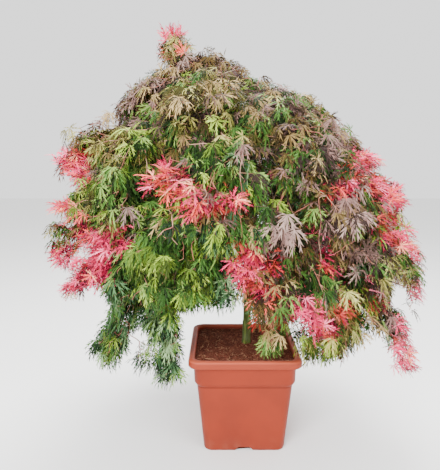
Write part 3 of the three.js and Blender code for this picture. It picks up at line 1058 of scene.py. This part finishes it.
def in_outline(points, stage, margin=0.0):
    """Which points lie inside the crown's outline, drawn in by a margin in pixels."""
    rows, left, right = np.array(OUTLINE).T
    across, down = in_frame(points, stage).T
    inside = across > np.interp(down, rows, left) + margin
    inside &= across < np.interp(down, rows, right) - margin
    return inside & (down > rows[0] + margin) & (down < rows[-1])


def behind_frame(spots, level, stage):
    """The points that are seen at spots in the frame and lie at a level from front to back."""
    eye, right, up, ahead = camera_axes(stage)
    across = (spots[..., :1] - FRAME_SIZE[0] / 2) / stage.focal
    down = (spots[..., 1:] - FRAME_SIZE[1] / 2) / stage.focal
    ray = ahead + across * right - down * up
    return eye + ray * ((level - eye[1]) / ray[..., 1])[..., None]


def apart(points, filled, cell):
    """The points that stand at least a cell from each other and from those already taken."""
    kept = []
    for number, point in enumerate(points):
        key = tuple(np.floor(point / cell).astype(int))
        around = [
            filled.get((key[0] + i, key[1] + j, key[2] + k))
            for i in (-1, 0, 1)
            for j in (-1, 0, 1)
            for k in (-1, 0, 1)
        ]
        if all(o is None or np.sum((o - point) ** 2) > cell**2 for o in around):
            filled[key] = point
            kept.append(number)
    return kept


def leaf_places(foliage, crown, stage):
    """Seeded places inside the foliage solids and in the clefts between them.

    Returns the places, the number of the solid that owns each and how deep it lies there,
    which is below 0 for the sprays that fill the frame between the solids.
    """
    random = np.random.default_rng(crown.seed)
    places, owners, cover = [], [], []
    for number, name in enumerate(MASSES):
        low, high = (np.array(corner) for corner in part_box(name))
        cell = crown.spacing * next((v for k, v in SPREAD.items() if name.startswith(k)), 1.0)
        points = random.uniform(low, high, (int(DARTS * np.prod(high - low) / cell**3), 3))
        points = points[~open_sky(points, stage)]
        points = points[in_outline(points, stage, random.uniform(0, 9, len(points)))]
        depths = np.array([foliage.depth(name, point) for point in points])
        points, depths = points[depths > SKIN], depths[depths > SKIN]
        kept = apart(points, {}, cell)
        places.append(points[kept])
        owners.append(np.full(len(kept), number))
        cover.append(depths[kept])
    low, high = np.array(CAD_BOX)
    points = random.uniform(low, high, (CLEFT_DARTS, 3))
    points = points[room_for(points, stage)]
    near = [foliage.neighbours(point, CLEFT_REACH) for point in points]
    clefts = [number for number, masses in enumerate(near) if len(masses) > 1]
    clefts = np.array(clefts)[apart(points[clefts], {}, CLEFT_SPACING * crown.spacing)]
    places.append(points[clefts])
    owners.append(np.array([near[number][0] for number in clefts]))
    cover.append(np.full(len(clefts), CLEFT_COVER))
    for _, across, down, half_width, half_height, level in FILLS:
        turn = random.uniform(0, 2 * math.pi, FILL_DARTS)
        reach = np.sqrt(random.random(FILL_DARTS))[:, None]
        spots = np.stack([across + half_width * np.cos(turn), down + half_height * np.sin(turn)], 1)
        spots = [across, down] + reach * (spots - [across, down])
        level = level + FILL_DEPTH * half_width * random.uniform(-1, 1, FILL_DARTS)
        points = behind_frame(spots, level, stage)
        points = points[apart(points, {}, FILL_SPACING * crown.spacing)]
        nearest = [int(np.argmax([foliage.depth(name, p) for name in MASSES])) for p in points]
        places.append(points)
        owners.append(np.array(nearest))
        cover.append(np.full(len(points), FILL_COVER))
    return np.concatenate(places), np.concatenate(owners), np.concatenate(cover)


def grow_twigs(places):
    """Joins every place to the boughs by the cheapest way, which makes the branching.

    Returns the places of all joints with the boughs first, and the parent of each joint.
    """
    roots = []
    walked = []
    parents = []
    for name in BOUGHS:
        line = bough_line(name, 12)
        steps = np.linalg.norm(np.diff(line, axis=0), axis=1)
        length = np.concatenate([[0], np.cumsum(steps)])
        for i in range(6, 12):
            parents.append(-1 if i == 6 else len(roots) - 1)
            roots.append(line[i])
            walked.append(length[i])
    count = len(roots)
    joints = np.concatenate([np.array(roots), places])
    total = len(joints)
    walk = np.zeros(total)
    walk[:count] = walked
    parent = np.full(total, -1)
    parent[:count] = parents
    best_cost = np.full(total, np.inf)
    best_from = np.full(total, -1)
    waiting = np.ones(total, bool)
    waiting[:count] = False

    def offer(source):
        step = joints - joints[source]
        way = np.linalg.norm(step, axis=1) + CLIMB_COST * np.maximum(step[:, 2], 0)
        cost = way + PATH_COST * walk[source]
        better = waiting & (cost < best_cost)
        best_cost[better] = cost[better]
        best_from[better] = source

    for source in range(count):
        offer(source)
    for _ in range(total - count):
        joint = int(np.argmin(np.where(waiting, best_cost, np.inf)))
        source = best_from[joint]
        parent[joint] = source
        walk[joint] = walk[source] + np.linalg.norm(joints[joint] - joints[source])
        waiting[joint] = False
        offer(joint)
    return joints, parent, count, walk


def room_for(points, stage):
    """Which points may carry free leaves: inside the box and outline, off the pot, stem and open sky."""
    low, high = np.array(CAD_BOX)
    inside = np.all((points > low + BOX_CLEAR) & (points < high - BOX_CLEAR), axis=1)
    over_pot = (np.abs(points[:, 0]) < POT_SIDE) & (np.abs(points[:, 1]) < POT_SIDE)
    hollow = np.hypot(points[:, 0], points[:, 1]) < STEM_SIDE
    floor = np.where(hollow, STEM_LEVEL, np.where(over_pot, POT_LEVEL, FREE_LEVEL))
    low_down = points[:, 2] < floor
    return inside & ~low_down & ~open_sky(points, stage) & in_outline(points, stage, 1.0)


def shoot_lines(crown, settings, stage):
    """Arching shoots over the surface: a joint to start from and places further out."""
    random = np.random.default_rng(settings.seed + 5)
    parents = np.zeros(len(crown.joints), bool)
    parents[crown.parent[crown.parent >= 0]] = True
    out = unit((crown.joints - CROWN_HEART) * [1.0, 1.0, 0.6])
    level = unit(out * [1.0, 1.0, 0.0] + 1e-6)
    ends = np.flatnonzero(~parents)
    beyond = crown.joints + 0.035 * out
    ends = [e for e in ends if crown.foliage.depth_in_any(beyond[e], 0.03) < 0]
    lines = []
    for base in random.permutation(ends)[: settings.shoots]:
        start = crown.joints[base]
        high = min(max((start[2] - 0.72) / 0.2, 0), 1)
        heading = level[base] + [0, 0, 1.0 * high - 0.25] + random.normal(0, 0.32, 3)
        heading /= np.linalg.norm(heading)
        steps = random.integers(1, 4)
        line = []
        for step in range(1, steps + 1):
            reach = step * settings.shoot_step
            place = start + heading * reach - [0, 0, 0.5 * SHOOT_DROOP * reach**2]
            if not room_for(place[None], stage)[0]:
                break
            line.append(place)
        if line:
            lines.append((base, line))
    return lines


def trail_lines(crown, stage):
    """Long trails that hang down just in front of the leaves."""
    spots = in_frame(crown.joints, stage)
    lines = []
    for number, (_, across, top, foot) in enumerate(TRAILS):
        base = None
        line = []
        for row in np.arange(top, foot, TRAIL_ROWS):
            shift = 1.1 * math.sin(0.16 * row + number)
            spot = np.array([across + shift, row])
            near = np.flatnonzero(np.hypot(*(spots - spot).T) < TRAIL_NEAR)
            if not len(near):
                continue
            front = near[np.argmin(crown.joints[near, 1])]
            if base is None:
                base = front
            level = crown.joints[front, 1:2] - TRAIL_OUT
            line.append(behind_frame(spot[None], level, stage)[0])
        if line:
            lines.append((base, line))
    return lines


class Crown:
    """The grown crown: its joints, their parents, loads, directions and sprays."""

    def __init__(self, context):
        settings = context.scene.maple_crown
        stage = context.scene.maple_stage
        self.foliage = Foliage()
        places, owners, cover = leaf_places(self.foliage, settings, stage)
        self.joints, self.parent, self.roots, self.walk = grow_twigs(places)
        self.owner = np.concatenate([np.zeros(self.roots, int), owners])
        self.cover = np.concatenate([np.zeros(self.roots), cover])
        self.free = self.cover < 0
        self.bare = np.zeros(len(self.joints), bool)
        self.stout = np.ones(len(self.joints))
        shoots = shoot_lines(self, settings, stage)
        self.add_lines(shoots, bare=False, stout=1)
        self.add_lines(trail_lines(self, stage), bare=True, stout=TRAIL_STOUT)
        self.load = self.loads()
        self.main_child = self.main_children()
        self.tangent = self.directions()
        self.spray = self.sprays()

    def add_lines(self, lines, bare, stout):
        """Adds rows of joints that run out of the foliage solids, each from a joint it has."""
        joints, parent, walk, owner = [], [], [], []
        fresh = len(self.joints)
        for base, line in lines:
            source = base
            walked = self.walk[base]
            last = self.joints[base]
            for place in line:
                walked += np.linalg.norm(place - last)
                joints.append(place)
                parent.append(source)
                walk.append(walked)
                owner.append(self.owner[base])
                source, last = fresh, place
                fresh += 1
        self.joints = np.concatenate([self.joints, np.array(joints)])
        self.parent = np.concatenate([self.parent, parent])
        self.walk = np.concatenate([self.walk, walk])
        self.owner = np.concatenate([self.owner, owner])
        self.cover = np.concatenate([self.cover, np.zeros(len(joints))])
        self.free = np.concatenate([self.free, np.ones(len(joints), bool)])
        self.bare = np.concatenate([self.bare, np.full(len(joints), bare)])
        self.stout = np.concatenate([self.stout, np.full(len(joints), float(stout))])

    def order(self):
        """Joints from the tips back to the boughs."""
        return np.argsort(-self.walk)

    def loads(self):
        """How many joints each joint carries, itself included."""
        load = self.stout.copy()
        for joint in self.order():
            if self.parent[joint] >= 0:
                load[self.parent[joint]] += load[joint]
        return load

    def main_children(self):
        """The heaviest joint that each joint carries on to, or -1 at a tip."""
        main = np.full(len(self.joints), -1)
        for joint in range(len(self.joints)):
            source = self.parent[joint]
            if source < 0:
                continue
            if main[source] < 0 or self.load[joint] > self.load[main[source]]:
                main[source] = joint
        return main

    def directions(self):
        """The direction in which the wood runs through each joint."""
        source = np.where(self.parent >= 0, self.parent, np.arange(len(self.joints)))
        arriving = unit(self.joints - self.joints[source])
        onward = np.where(self.main_child >= 0, self.main_child, np.arange(len(self.joints)))
        leaving = unit(self.joints[onward] - self.joints)
        blend = arriving + leaving
        alone = np.linalg.norm(blend, axis=1) < 1e-6
        blend[alone] = (0, 0, -1)
        return unit(blend)

    def sprays(self):
        """The number of the spray that each joint belongs to."""
        spray = np.full(len(self.joints), -1)
        fresh = 0
        for joint in np.argsort(self.walk):
            source = self.parent[joint]
            if source >= 0 and self.load[source] <= SPRAY_SIZE:
                spray[joint] = spray[source]
            else:
                spray[joint] = fresh
                fresh += 1
        return spray


grown = {}


def crown_of(context):
    """The crown, grown once for the twigs and the leaves."""
    if "crown" not in grown:
        grown["crown"] = Crown(context)
    return grown["crown"]


def tubes(lines, radii, sides):
    """Closed tubes along many short lines at once.

    lines is (tubes, points, 3) and radii is (tubes, points). Returns corners and triangles.
    """
    count, points, _ = lines.shape
    ahead = np.gradient(lines, axis=1)
    ahead = unit(ahead)
    chord = unit(lines[:, -1] - lines[:, 0])
    helper = np.where(np.abs(chord[:, 2:]) > 0.8, [[1.0, 0.0, 0.0]], [[0.0, 0.0, 1.0]])
    side = unit(np.cross(ahead, helper[:, None]))
    over = np.cross(ahead, side)
    turns = np.arange(sides) * 2 * math.pi / sides
    ring = (
        np.cos(turns)[None, None, :, None] * side[:, :, None]
        + np.sin(turns)[None, None, :, None] * over[:, :, None]
    )
    corners = lines[:, :, None] + ring * radii[:, :, None, None]
    faces = []
    for p in range(points - 1):
        for a in range(sides):
            b = (a + 1) % sides
            low, high = p * sides, (p + 1) * sides
            faces += [[low + a, low + b, high + b], [low + a, high + b, high + a]]
    last = (points - 1) * sides
    for a in range(1, sides - 1):
        faces += [[0, a + 1, a], [last, last + a, last + a + 1]]
    faces = np.array(faces)
    offset = np.arange(count)[:, None, None] * points * sides
    return corners.reshape(-1, 3), (faces[None] + offset).reshape(-1, 3), len(faces)


def bent_lines(start, end, leave, arrive, points):
    """Smooth lines from start to end that leave and arrive in the given directions."""
    t = np.linspace(0, 1, points)[None, :, None]
    length = np.linalg.norm(end - start, axis=1)[:, None, None]
    first = (2 * t**3 - 3 * t**2 + 1) * start[:, None]
    second = (t**3 - 2 * t**2 + t) * leave[:, None] * length
    third = (3 * t**2 - 2 * t**3) * end[:, None]
    fourth = (t**3 - t**2) * arrive[:, None] * length
    return first + second + third + fourth


TWIG_POWER = 0.34  # how a twig thickens with the joints that it carries
STOUT_LOAD, SLIM_LOAD = 40, 10  # the load over which a twig is stout, and up to which it is slim
TWIG_LIMIT = 180000  # triangles in one piece of twigs


class MAPLE_OT_twigs(bpy.types.Operator):
    """Grows the twigs from the boughs to every pair of leaves"""

    bl_idname = "maple.twigs"
    bl_label = "Twigs"

    def execute(self, context):
        thin = context.scene.maple_wood.twig_radius
        crown = crown_of(context)
        ends = np.flatnonzero(crown.parent >= 0)
        sources = crown.parent[ends]
        chord = unit(crown.joints[ends] - crown.joints[sources])
        follows = crown.main_child[sources] == ends
        mix = np.where(follows, 1.0, 0.45)[:, None]
        leave = unit(mix * crown.tangent[sources] + (1.15 - mix) * chord)
        points = 4
        lines = bent_lines(
            crown.joints[sources], crown.joints[ends], leave, crown.tangent[ends], points
        )
        near = thin * crown.load[sources] ** TWIG_POWER
        own = thin * crown.load[ends] ** TWIG_POWER
        near = np.where(follows, near, np.minimum(near, 1.15 * own))
        t = np.linspace(0, 1, points)
        radii = near[:, None] * (1 - t) + own[:, None] * t
        corners, triangles, faces = tubes(lines, radii, 3)
        random = np.random.default_rng(11)
        thick = crown.load[ends]
        slim = 1 + (random.random(len(ends)) < 0.4)
        tone = np.where(thick > STOUT_LOAD, 0, np.where(thick > SLIM_LOAD, 1, slim))
        spray_tone = random.random(crown.spray.max() + 1)
        tone = np.where((thick <= SLIM_LOAD) & (spray_tone[crown.spray[ends]] < 0.3), 0, tone)
        finishes = plain_finishes("twig bark", TWIG_TONES, 0.6)
        start_clean()
        limit = TWIG_LIMIT // faces
        for part in range(0, len(ends), limit):
            chosen = slice(part * points * 3, (part + limit) * points * 3)
            pick = slice(part * faces, (part + limit) * faces)
            name = f"twigs_{part // limit + 1}"
            tones = np.repeat(tone[part : part + limit], faces)
            own_triangles = triangles[pick] - part * points * 3
            twigs = joined_piece(name, corners[chosen], own_triangles, tones, finishes, True)
            hand_over(twigs)
        return {"FINISHED"}


# ---- the leaves ---------------------------------------------------------------------------

# Where each lobe points on the fan, its length and its number of teeth on each side.
LOBES = [(0.0, 1.0, 3), (0.36, 0.94, 3), (-0.36, 0.94, 3), (0.72, 0.78, 3), (-0.72, 0.78, 3)]
LOBES += [(1.0, 0.50, 2), (-1.0, 0.50, 2)]
LOBE_OUTLINE = [0.75, 1.0, 0.6]
PETIOLE_RADIUS = 0.0008
THIRDS = [(1.0, 0.0), (-0.5, 0.866), (-0.5, -0.866)]
VARIANTS = 4
LEAF_LIMIT = 190000  # triangles in one piece of leaves
DEEP_COVER = 0.045  # deeper in the foliage than this, only some leaves stay
# Painted shade: the darkest tone goes only to leaves that do not count as lit.
SHADE = 0.3  # the darkest tone of a family as a share of its dark one

# Spread of the fan, bend forward, bend below, lift and width of the lobes.
LEAF_FORMS = {
    "hand": (1.45, 1.0, 0.6, 0.2, 0.146),
    "parasol": (2.0, 0.5, 1.9, 0.35, 0.156),
    "star": (2.1, 0.2, 0.6, 0.1, 0.152),
    "young": (1.9, 0.2, 0.5, 0.35, 0.152),
}
LEAF_SHARES = np.array([0.86, 0.70, 0.60, 0.62])  # lobe length of each form as a share of a leaf


def cut_leaf(random, spread, forward, below, lift, width):
    """One finely cut leaf of unit length: corners, triangles and how light each triangle is.

    X runs along the middle lobe, Y across the leaf and Z out of its upper face. Each lobe starts
    on a fan of this spread, lifts a little, and then bends forward and below the leaf's plane.
    """
    corners, triangles, shades = [], [], []
    for angle, length, steps in LOBES:
        turn = angle * spread + random.normal(0, 0.09)
        length *= random.uniform(0.82, 1.1)
        start = np.array([math.cos(turn), math.sin(turn), lift + random.normal(0, 0.12)])
        sway = random.normal(0, 0.2)
        shade = -1 if random.random() < 0.2 else 0
        spine = [np.zeros(3)]
        ahead = []
        for step in range(steps):
            heading = start + step / steps * np.array([forward, sway, -below])
            heading /= np.linalg.norm(heading)
            spine.append(spine[-1] + heading * length / steps)
            ahead.append(heading)
        base = len(corners)
        corners += spine
        for step, heading in enumerate(ahead):
            aside = np.array([-heading[1], heading[0], 0])
            aside /= max(np.linalg.norm(aside), 1e-6)
            reach = width * length * LOBE_OUTLINE[step + 3 - steps]
            for hand in (1, -1):
                tooth = spine[step] + heading * length / steps * random.uniform(1.4, 1.9)
                tooth = tooth + hand * aside * reach * random.uniform(0.75, 1.25)
                tooth[2] -= 0.3 * reach
                corners.append(tooth)
                here, there, tip = base + step, base + step + 1, len(corners) - 1
                triangles.append([here, there, tip] if hand > 0 else [there, here, tip])
                shades.append(shade)
    return np.array(corners), np.array(triangles), np.array(shades)


def family_weights(table):
    """A table of parts as chances in the order of the families."""
    parts = np.array([float(table.get(family, 0)) for family in LEAF_FAMILIES])
    return parts / parts.sum()


def weights_for(name):
    """The chances in a foliage solid: those of the longest key that its name starts with."""
    found = [key for key in TINTS if name.startswith(key)]
    return family_weights(TINTS[max(found, key=len)])


def inner_share(points, owner):
    """1 on the side of a foliage solid that faces the crown's heart, 0 on its outer side."""
    middle = np.array([(np.array(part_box(m)[0]) + np.array(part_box(m)[1])) / 2 for m in MASSES])
    young = np.array([name.startswith(ALL_YOUNG) for name in MASSES])
    outward = unit(points - CROWN_HEART)
    offset = np.sum((points - middle[owner]) * outward, axis=1)
    return np.where(young[owner], 0, np.clip(0.5 - offset / 0.05, 0, 1))


def deal_tints(crown, leaf_joint, stage):
    """The family of each leaf: its spray's own, with some strays."""
    random = np.random.default_rng(23)
    of_mass = np.array([weights_for(name) for name in MASSES])
    chances = of_mass[crown.owner]
    spots = in_frame(crown.joints, stage)
    front = crown.joints[:, 1] < 0.06
    for _, x, y, half_width, half_height, table in PATCHES:
        away = ((spots[:, 0] - x) / half_width) ** 2 + ((spots[:, 1] - y) / half_height) ** 2
        chances[front & (away < 1)] = family_weights(table)
    # Leaves on the inner side of a solid lean to the dark green families: partly the greener colour of
    # older leaves, partly painted shade.
    deep = (inner_share(crown.joints, crown.owner) > 0.5) & ~crown.free
    chances = np.where(deep[:, None], 0.2 * chances + 0.8 * family_weights(DEEP), chances)
    sums = np.cumsum(chances, axis=1)
    sums[:, -1] = 1.0
    draw = random.random(crown.spray.max() + 1)[crown.spray[leaf_joint]]
    stray = random.random(len(leaf_joint)) < 0.35
    draw = np.where(stray, random.random(len(leaf_joint)), draw)
    return np.sum(draw[:, None] > sums[leaf_joint], axis=1)


def turned(level, angle):
    """Level directions turned about the upright."""
    cos, sin = np.cos(angle), np.sin(angle)
    x = cos * level[:, 0] - sin * level[:, 1]
    y = sin * level[:, 0] + cos * level[:, 1]
    return np.stack([x, y, 0 * x], axis=1)


class MAPLE_OT_leaves(bpy.types.Operator):
    """Hangs the leaves in pairs on the twigs and deals out their colours by the spray"""

    bl_idname = "maple.leaves"
    bl_label = "Leaves"

    def execute(self, context):
        settings = context.scene.maple_crown
        crown = crown_of(context)
        random = np.random.default_rng(settings.seed + 1)
        joint, hand = self.leaf_sites(crown)
        family = deal_tints(crown, joint, context.scene.maple_stage)
        flush = [LEAF_FAMILIES.index(name) for name in ("leaf_crimson", "leaf_coral")]
        young = np.isin(family, flush)
        count = len(joint)

        def stray(amount):
            return random.normal(0, amount, (count, 3))

        place = crown.joints[joint]
        along = crown.tangent[joint]
        outward = unit((place - CROWN_HEART) * [1.0, 1.0, 0.35])
        level = turned(unit(outward * [1.0, 1.0, 0.0] + 1e-6), random.normal(0, 0.6, count))
        up = np.array([0.0, 0.0, 1.0])
        high = np.clip((place[:, 2] - 0.78) / 0.16, 0, 1)
        side = unit(np.cross(along, outward) + stray(0.25))
        aside = hand[:, None] * side
        tip = (hand == 0)[:, None]
        way = unit(0.9 * aside + 0.75 * outward + np.where(tip, 1.15, 0.35) * along)
        way = unit(way + [0, 0, 0.12] + stray(0.16))
        stalk = settings.petiole * random.uniform(0.6, 1.3, count)[:, None]
        origin = place + way * stalk - 0.12 * stalk * up

        # The form and the set of each leaf: hanging hand, parasol, star and young leaf.
        starry = np.clip((place[:, 0] - 0.05) / 0.15, 0, 1) * (place[:, 2] > 0.45)
        hands = 0.68 - 0.25 * high - 0.25 * starry
        draw = random.random(crown.spray.max() + 1)[crown.spray[joint]]
        draw = (draw + 0.45 * random.random(count)) % 1.0
        kind = np.where(draw < hands, 0, np.where(draw < hands + 0.22, 1, 2))
        kind = np.where(young, 3, kind)
        perky = np.where(place[:, 2] > 1.05, 1.2, 0.0)[:, None]
        ways = [
            0.45 * level - up + stray(0.2),
            level - 0.35 * up + stray(0.3),
            0.3 * level + 0.6 * aside - 0.7 * up + stray(0.45),
            0.5 * along + 0.7 * way + 0.3 * level + (perky - 0.25) * up + stray(0.3),
        ]
        faces = [
            level + 0.35 * up + stray(0.3),
            0.45 * level + up + stray(0.25),
            0.8 * level + 0.5 * up + stray(0.4),
            0.6 * level + 0.7 * up + stray(0.4),
        ]
        each = np.arange(count)
        forward = unit(np.stack(ways)[kind, each])
        face = np.stack(faces)[kind, each]
        face = unit(face - np.sum(face * forward, axis=1)[:, None] * forward)
        across = np.cross(face, forward)
        length = settings.leaf * LEAF_SHARES[kind] * random.uniform(0.75, 1.2, count)
        small = crown.owner[joint] == MASSES.index("pot_sprig")
        length *= np.where(small, 0.7, 1.0) * np.where(place[:, 2] > 1.05, 0.9, 1.0)
        tips = origin + 0.85 * forward * length[:, None]
        keep, cover = self.fits(crown, joint, origin, tips, settings)
        keep &= in_outline(tips, context.scene.maple_stage, -2.0)
        keep &= ~open_sky(0.5 * (origin + tips), context.scene.maple_stage)
        keep &= ~crown.bare[joint]
        keep &= (crown.cover[joint] < DEEP_COVER) | (random.random(count) < 0.3)
        form = kind * VARIANTS + random.integers(0, VARIANTS, count)
        # Painted light and shade: leaves near the surface of the foliage, spaced apart, and most leaves
        # by the crown's outline count as lit and take the lighter tones; the others take the darker
        # ones.
        outer = np.flatnonzero(keep & (cover < 0.014))
        painted_lit = np.zeros(count, bool)
        painted_lit[outer[apart((0.5 * (origin + tips))[outer], {}, 0.4 * settings.leaf)]] = True
        keep &= painted_lit | (cover > 0.010) | (random.random(count) < 0.6)
        rim = ~in_outline(tips, context.scene.maple_stage, 24.0)
        painted_lit |= rim & (random.random(count) < 0.75)
        draw = random.random(count)
        tone = np.digitize(draw, [0.55]) + young
        tone = np.where(painted_lit, np.digitize(draw, [0.0, 0.2, 0.66]), tone)
        chosen = np.flatnonzero(keep)
        self.hang(chosen, origin, np.stack([forward, across, face], 1), length, form, family, tone)
        self.stalks(chosen, place, origin, young)
        return {"FINISHED"}

    def leaf_sites(self, crown):
        """The joint of each leaf, and 1 or -1 for its side of the twig, or 0 at a tip."""
        joints = np.arange(crown.roots, len(crown.joints))
        tips = joints[crown.main_child[joints] < 0]
        both = np.concatenate([joints, joints, tips])
        hand = np.concatenate([np.ones(len(joints)), -np.ones(len(joints)), np.zeros(len(tips))])
        return both, hand

    def fits(self, crown, joint, origin, tips, settings):
        """Which leaves stay by the foliage solids, and how deep in them each one lies.

        A leaf on a shoot has to stay in the whole plant's box.
        """
        low, high = np.array(CAD_BOX)
        keep = np.all((tips > low + 0.004) & (tips < high - 0.004), axis=1)
        spill = settings.spill
        cover = np.zeros(len(joint))
        for number in np.flatnonzero(~crown.free[joint]):
            ends = [crown.foliage.depth_in_any(p[number], spill) for p in (tips, origin)]
            keep[number] &= min(ends) >= -spill
            cover[number] = sum(ends) / 2
        return keep, cover

    def hang(self, chosen, origin, axes, length, form, family, tone):
        """Joins the leaves of each family into pieces."""
        random = np.random.default_rng(3)
        templates = [
            cut_leaf(random, *LEAF_FORMS[name])
            for name in LEAF_FORMS
            for _ in range(VARIANTS)
        ]
        limit = LEAF_LIMIT // len(templates[0][1])
        for number, name in enumerate(LEAF_FAMILIES):
            tones = [tuple(SHADE * part for part in LEAF_TONES[name][0]), *LEAF_TONES[name]]
            finishes = plain_finishes(name.replace("_", " "), tones, 0.5)
            mine = chosen[family[chosen] == number]
            nodes = [m for m in MASSES if SLOT_OF[m] == name]
            for part in range(0, len(mine), limit):
                some = mine[part : part + limit]
                corners, triangles, shades = [], [], []
                base = 0
                for kind, (shape, faces, shift) in enumerate(templates):
                    leaves = some[form[some] == kind]
                    placed = np.einsum("cj,ljk->lck", shape, axes[leaves])
                    placed = placed * length[leaves, None, None] + origin[leaves, None]
                    corners.append(placed.reshape(-1, 3))
                    offset = base + len(shape) * np.arange(len(leaves))[:, None, None]
                    triangles.append((faces[None] + offset).reshape(-1, 3))
                    shade = tone[leaves, None] + shift[None]
                    shades.append(np.clip(shade, 0, len(tones) - 1).ravel())
                    base += len(shape) * len(leaves)
                piece = joined_piece(
                    f"{name}_{part // limit + 1}",
                    np.concatenate(corners),
                    np.concatenate(triangles),
                    np.concatenate(shades),
                    finishes,
                )
                hand_over(piece, nodes if part == 0 else ())

    def stalks(self, chosen, place, origin, young):
        """Joins the petioles, each a slim spike from the twig to its leaf."""
        start, end = place[chosen], origin[chosen]
        ahead = unit(end - start)
        side = unit(np.cross(ahead, [0.3, 0.2, 1.0]))
        over = np.cross(ahead, side)
        foot = [start + PETIOLE_RADIUS * (c * side + d * over) for c, d in THIRDS]
        corners = np.stack([*foot, end + 0.0015 * ahead], axis=1).reshape(-1, 3)
        spike = np.array([[0, 2, 1], [0, 1, 3], [1, 2, 3], [2, 0, 3]])
        offset = 4 * np.arange(len(chosen))[:, None, None]
        triangles = (spike[None] + offset).reshape(-1, 3)
        tones = np.repeat(np.where(young[chosen], 0, 1), 4)
        finishes = plain_finishes("petiole", PETIOLE_TONES, 0.55)
        petioles = joined_piece("petioles", corners, triangles, tones, finishes)
        hand_over(petioles)


# ---- the stage ----------------------------------------------------------------------------


class MAPLE_OT_stage(bpy.types.Operator):
    """Sets the floor, the lamps and the camera"""

    bl_idname = "maple.stage"
    bl_label = "Stage"

    def execute(self, context):
        settings = context.scene.maple_stage
        start_clean()
        bpy.ops.mesh.primitive_plane_add(size=16, location=(0, 0, 0))
        floor = context.object
        floor.name = "floor"
        paper, _, _ = new_finish("pale floor", (0.86, 0.86, 0.85), 0.9)
        floor.data.materials.append(paper)
        self.lamp("key", (-1.1, -2.5, 1.9), 1.5, settings.key)
        self.lamp("fill", (1.7, -1.9, 1.3), 1.8, 0.35 * settings.key)
        self.lamp("top", (0.2, 0.8, 2.6), 1.6, 0.8 * settings.key)
        world = bpy.data.worlds.new("pale studio")
        context.scene.world = world
        world.use_nodes = True
        light = world.node_tree.nodes["Background"].inputs
        light["Color"].default_value = (1.0, 1.0, 1.0, 1.0)
        light["Strength"].default_value = settings.sky
        bpy.ops.object.camera_add(location=settings.place)
        camera = context.object
        camera.rotation_euler = (math.pi / 2 - settings.dip, 0, 0)
        camera.data.sensor_width = 36
        camera.data.lens = 36 * settings.focal / max(FRAME_SIZE)
        camera.data.clip_start = 0.01
        context.scene.camera = camera
        return {"FINISHED"}

    def lamp(self, name, place, size, power):
        """A soft square lamp turned to the middle of the plant."""
        bpy.ops.object.light_add(type="AREA", location=place)
        lamp = bpy.context.object
        lamp.name = name
        lamp.data.size = size
        lamp.data.energy = power
        away = Vector(place) - Vector((0, 0, 0.55))
        lamp.rotation_euler = away.to_track_quat("Z", "Y").to_euler()


# ---- the panel and the run ----------------------------------------------------------------


class MAPLE_PT_panel(bpy.types.Panel):
    """Lists the pieces of the plant in the order in which they are made"""

    bl_idname = "MAPLE_PT_panel"
    bl_label = "Weeping maple"
    bl_space_type = "VIEW_3D"
    bl_region_type = "UI"
    bl_category = "Maple"

    def draw(self, context):
        for operator in STEPS:
            self.layout.operator(operator.bl_idname)
        for group, keys in SHOWN.items():
            for key in keys:
                self.layout.prop(getattr(context.scene, group), key)


STEPS = [
    MAPLE_OT_stage,
    MAPLE_OT_pot,
    MAPLE_OT_soil,
    MAPLE_OT_stem,
    MAPLE_OT_boughs,
    MAPLE_OT_twigs,
    MAPLE_OT_leaves,
]
GROUPS = {
    "maple_pot": PotSettings,
    "maple_soil": SoilSettings,
    "maple_wood": WoodSettings,
    "maple_crown": CrownSettings,
    "maple_stage": StageSettings,
}
SHOWN = {name: list(group.__annotations__) for name, group in GROUPS.items()}


def register():
    """Registers the settings, the operators and the panel."""
    for group in (*GROUPS.values(), *STEPS, MAPLE_PT_panel):
        bpy.utils.register_class(group)
    for name, group in GROUPS.items():
        setattr(bpy.types.Scene, name, PointerProperty(type=group))


def unregister():
    """Takes them away again."""
    for name in GROUPS:
        delattr(bpy.types.Scene, name)
    for group in reversed((*GROUPS.values(), *STEPS, MAPLE_PT_panel)):
        bpy.utils.unregister_class(group)


def main():
    """Registers the add-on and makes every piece."""
    register()
    for operator in STEPS:
        group, step = operator.bl_idname.split(".")
        getattr(getattr(bpy.ops, group), step)()
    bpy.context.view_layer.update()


if __name__ == "__main__":
    main()
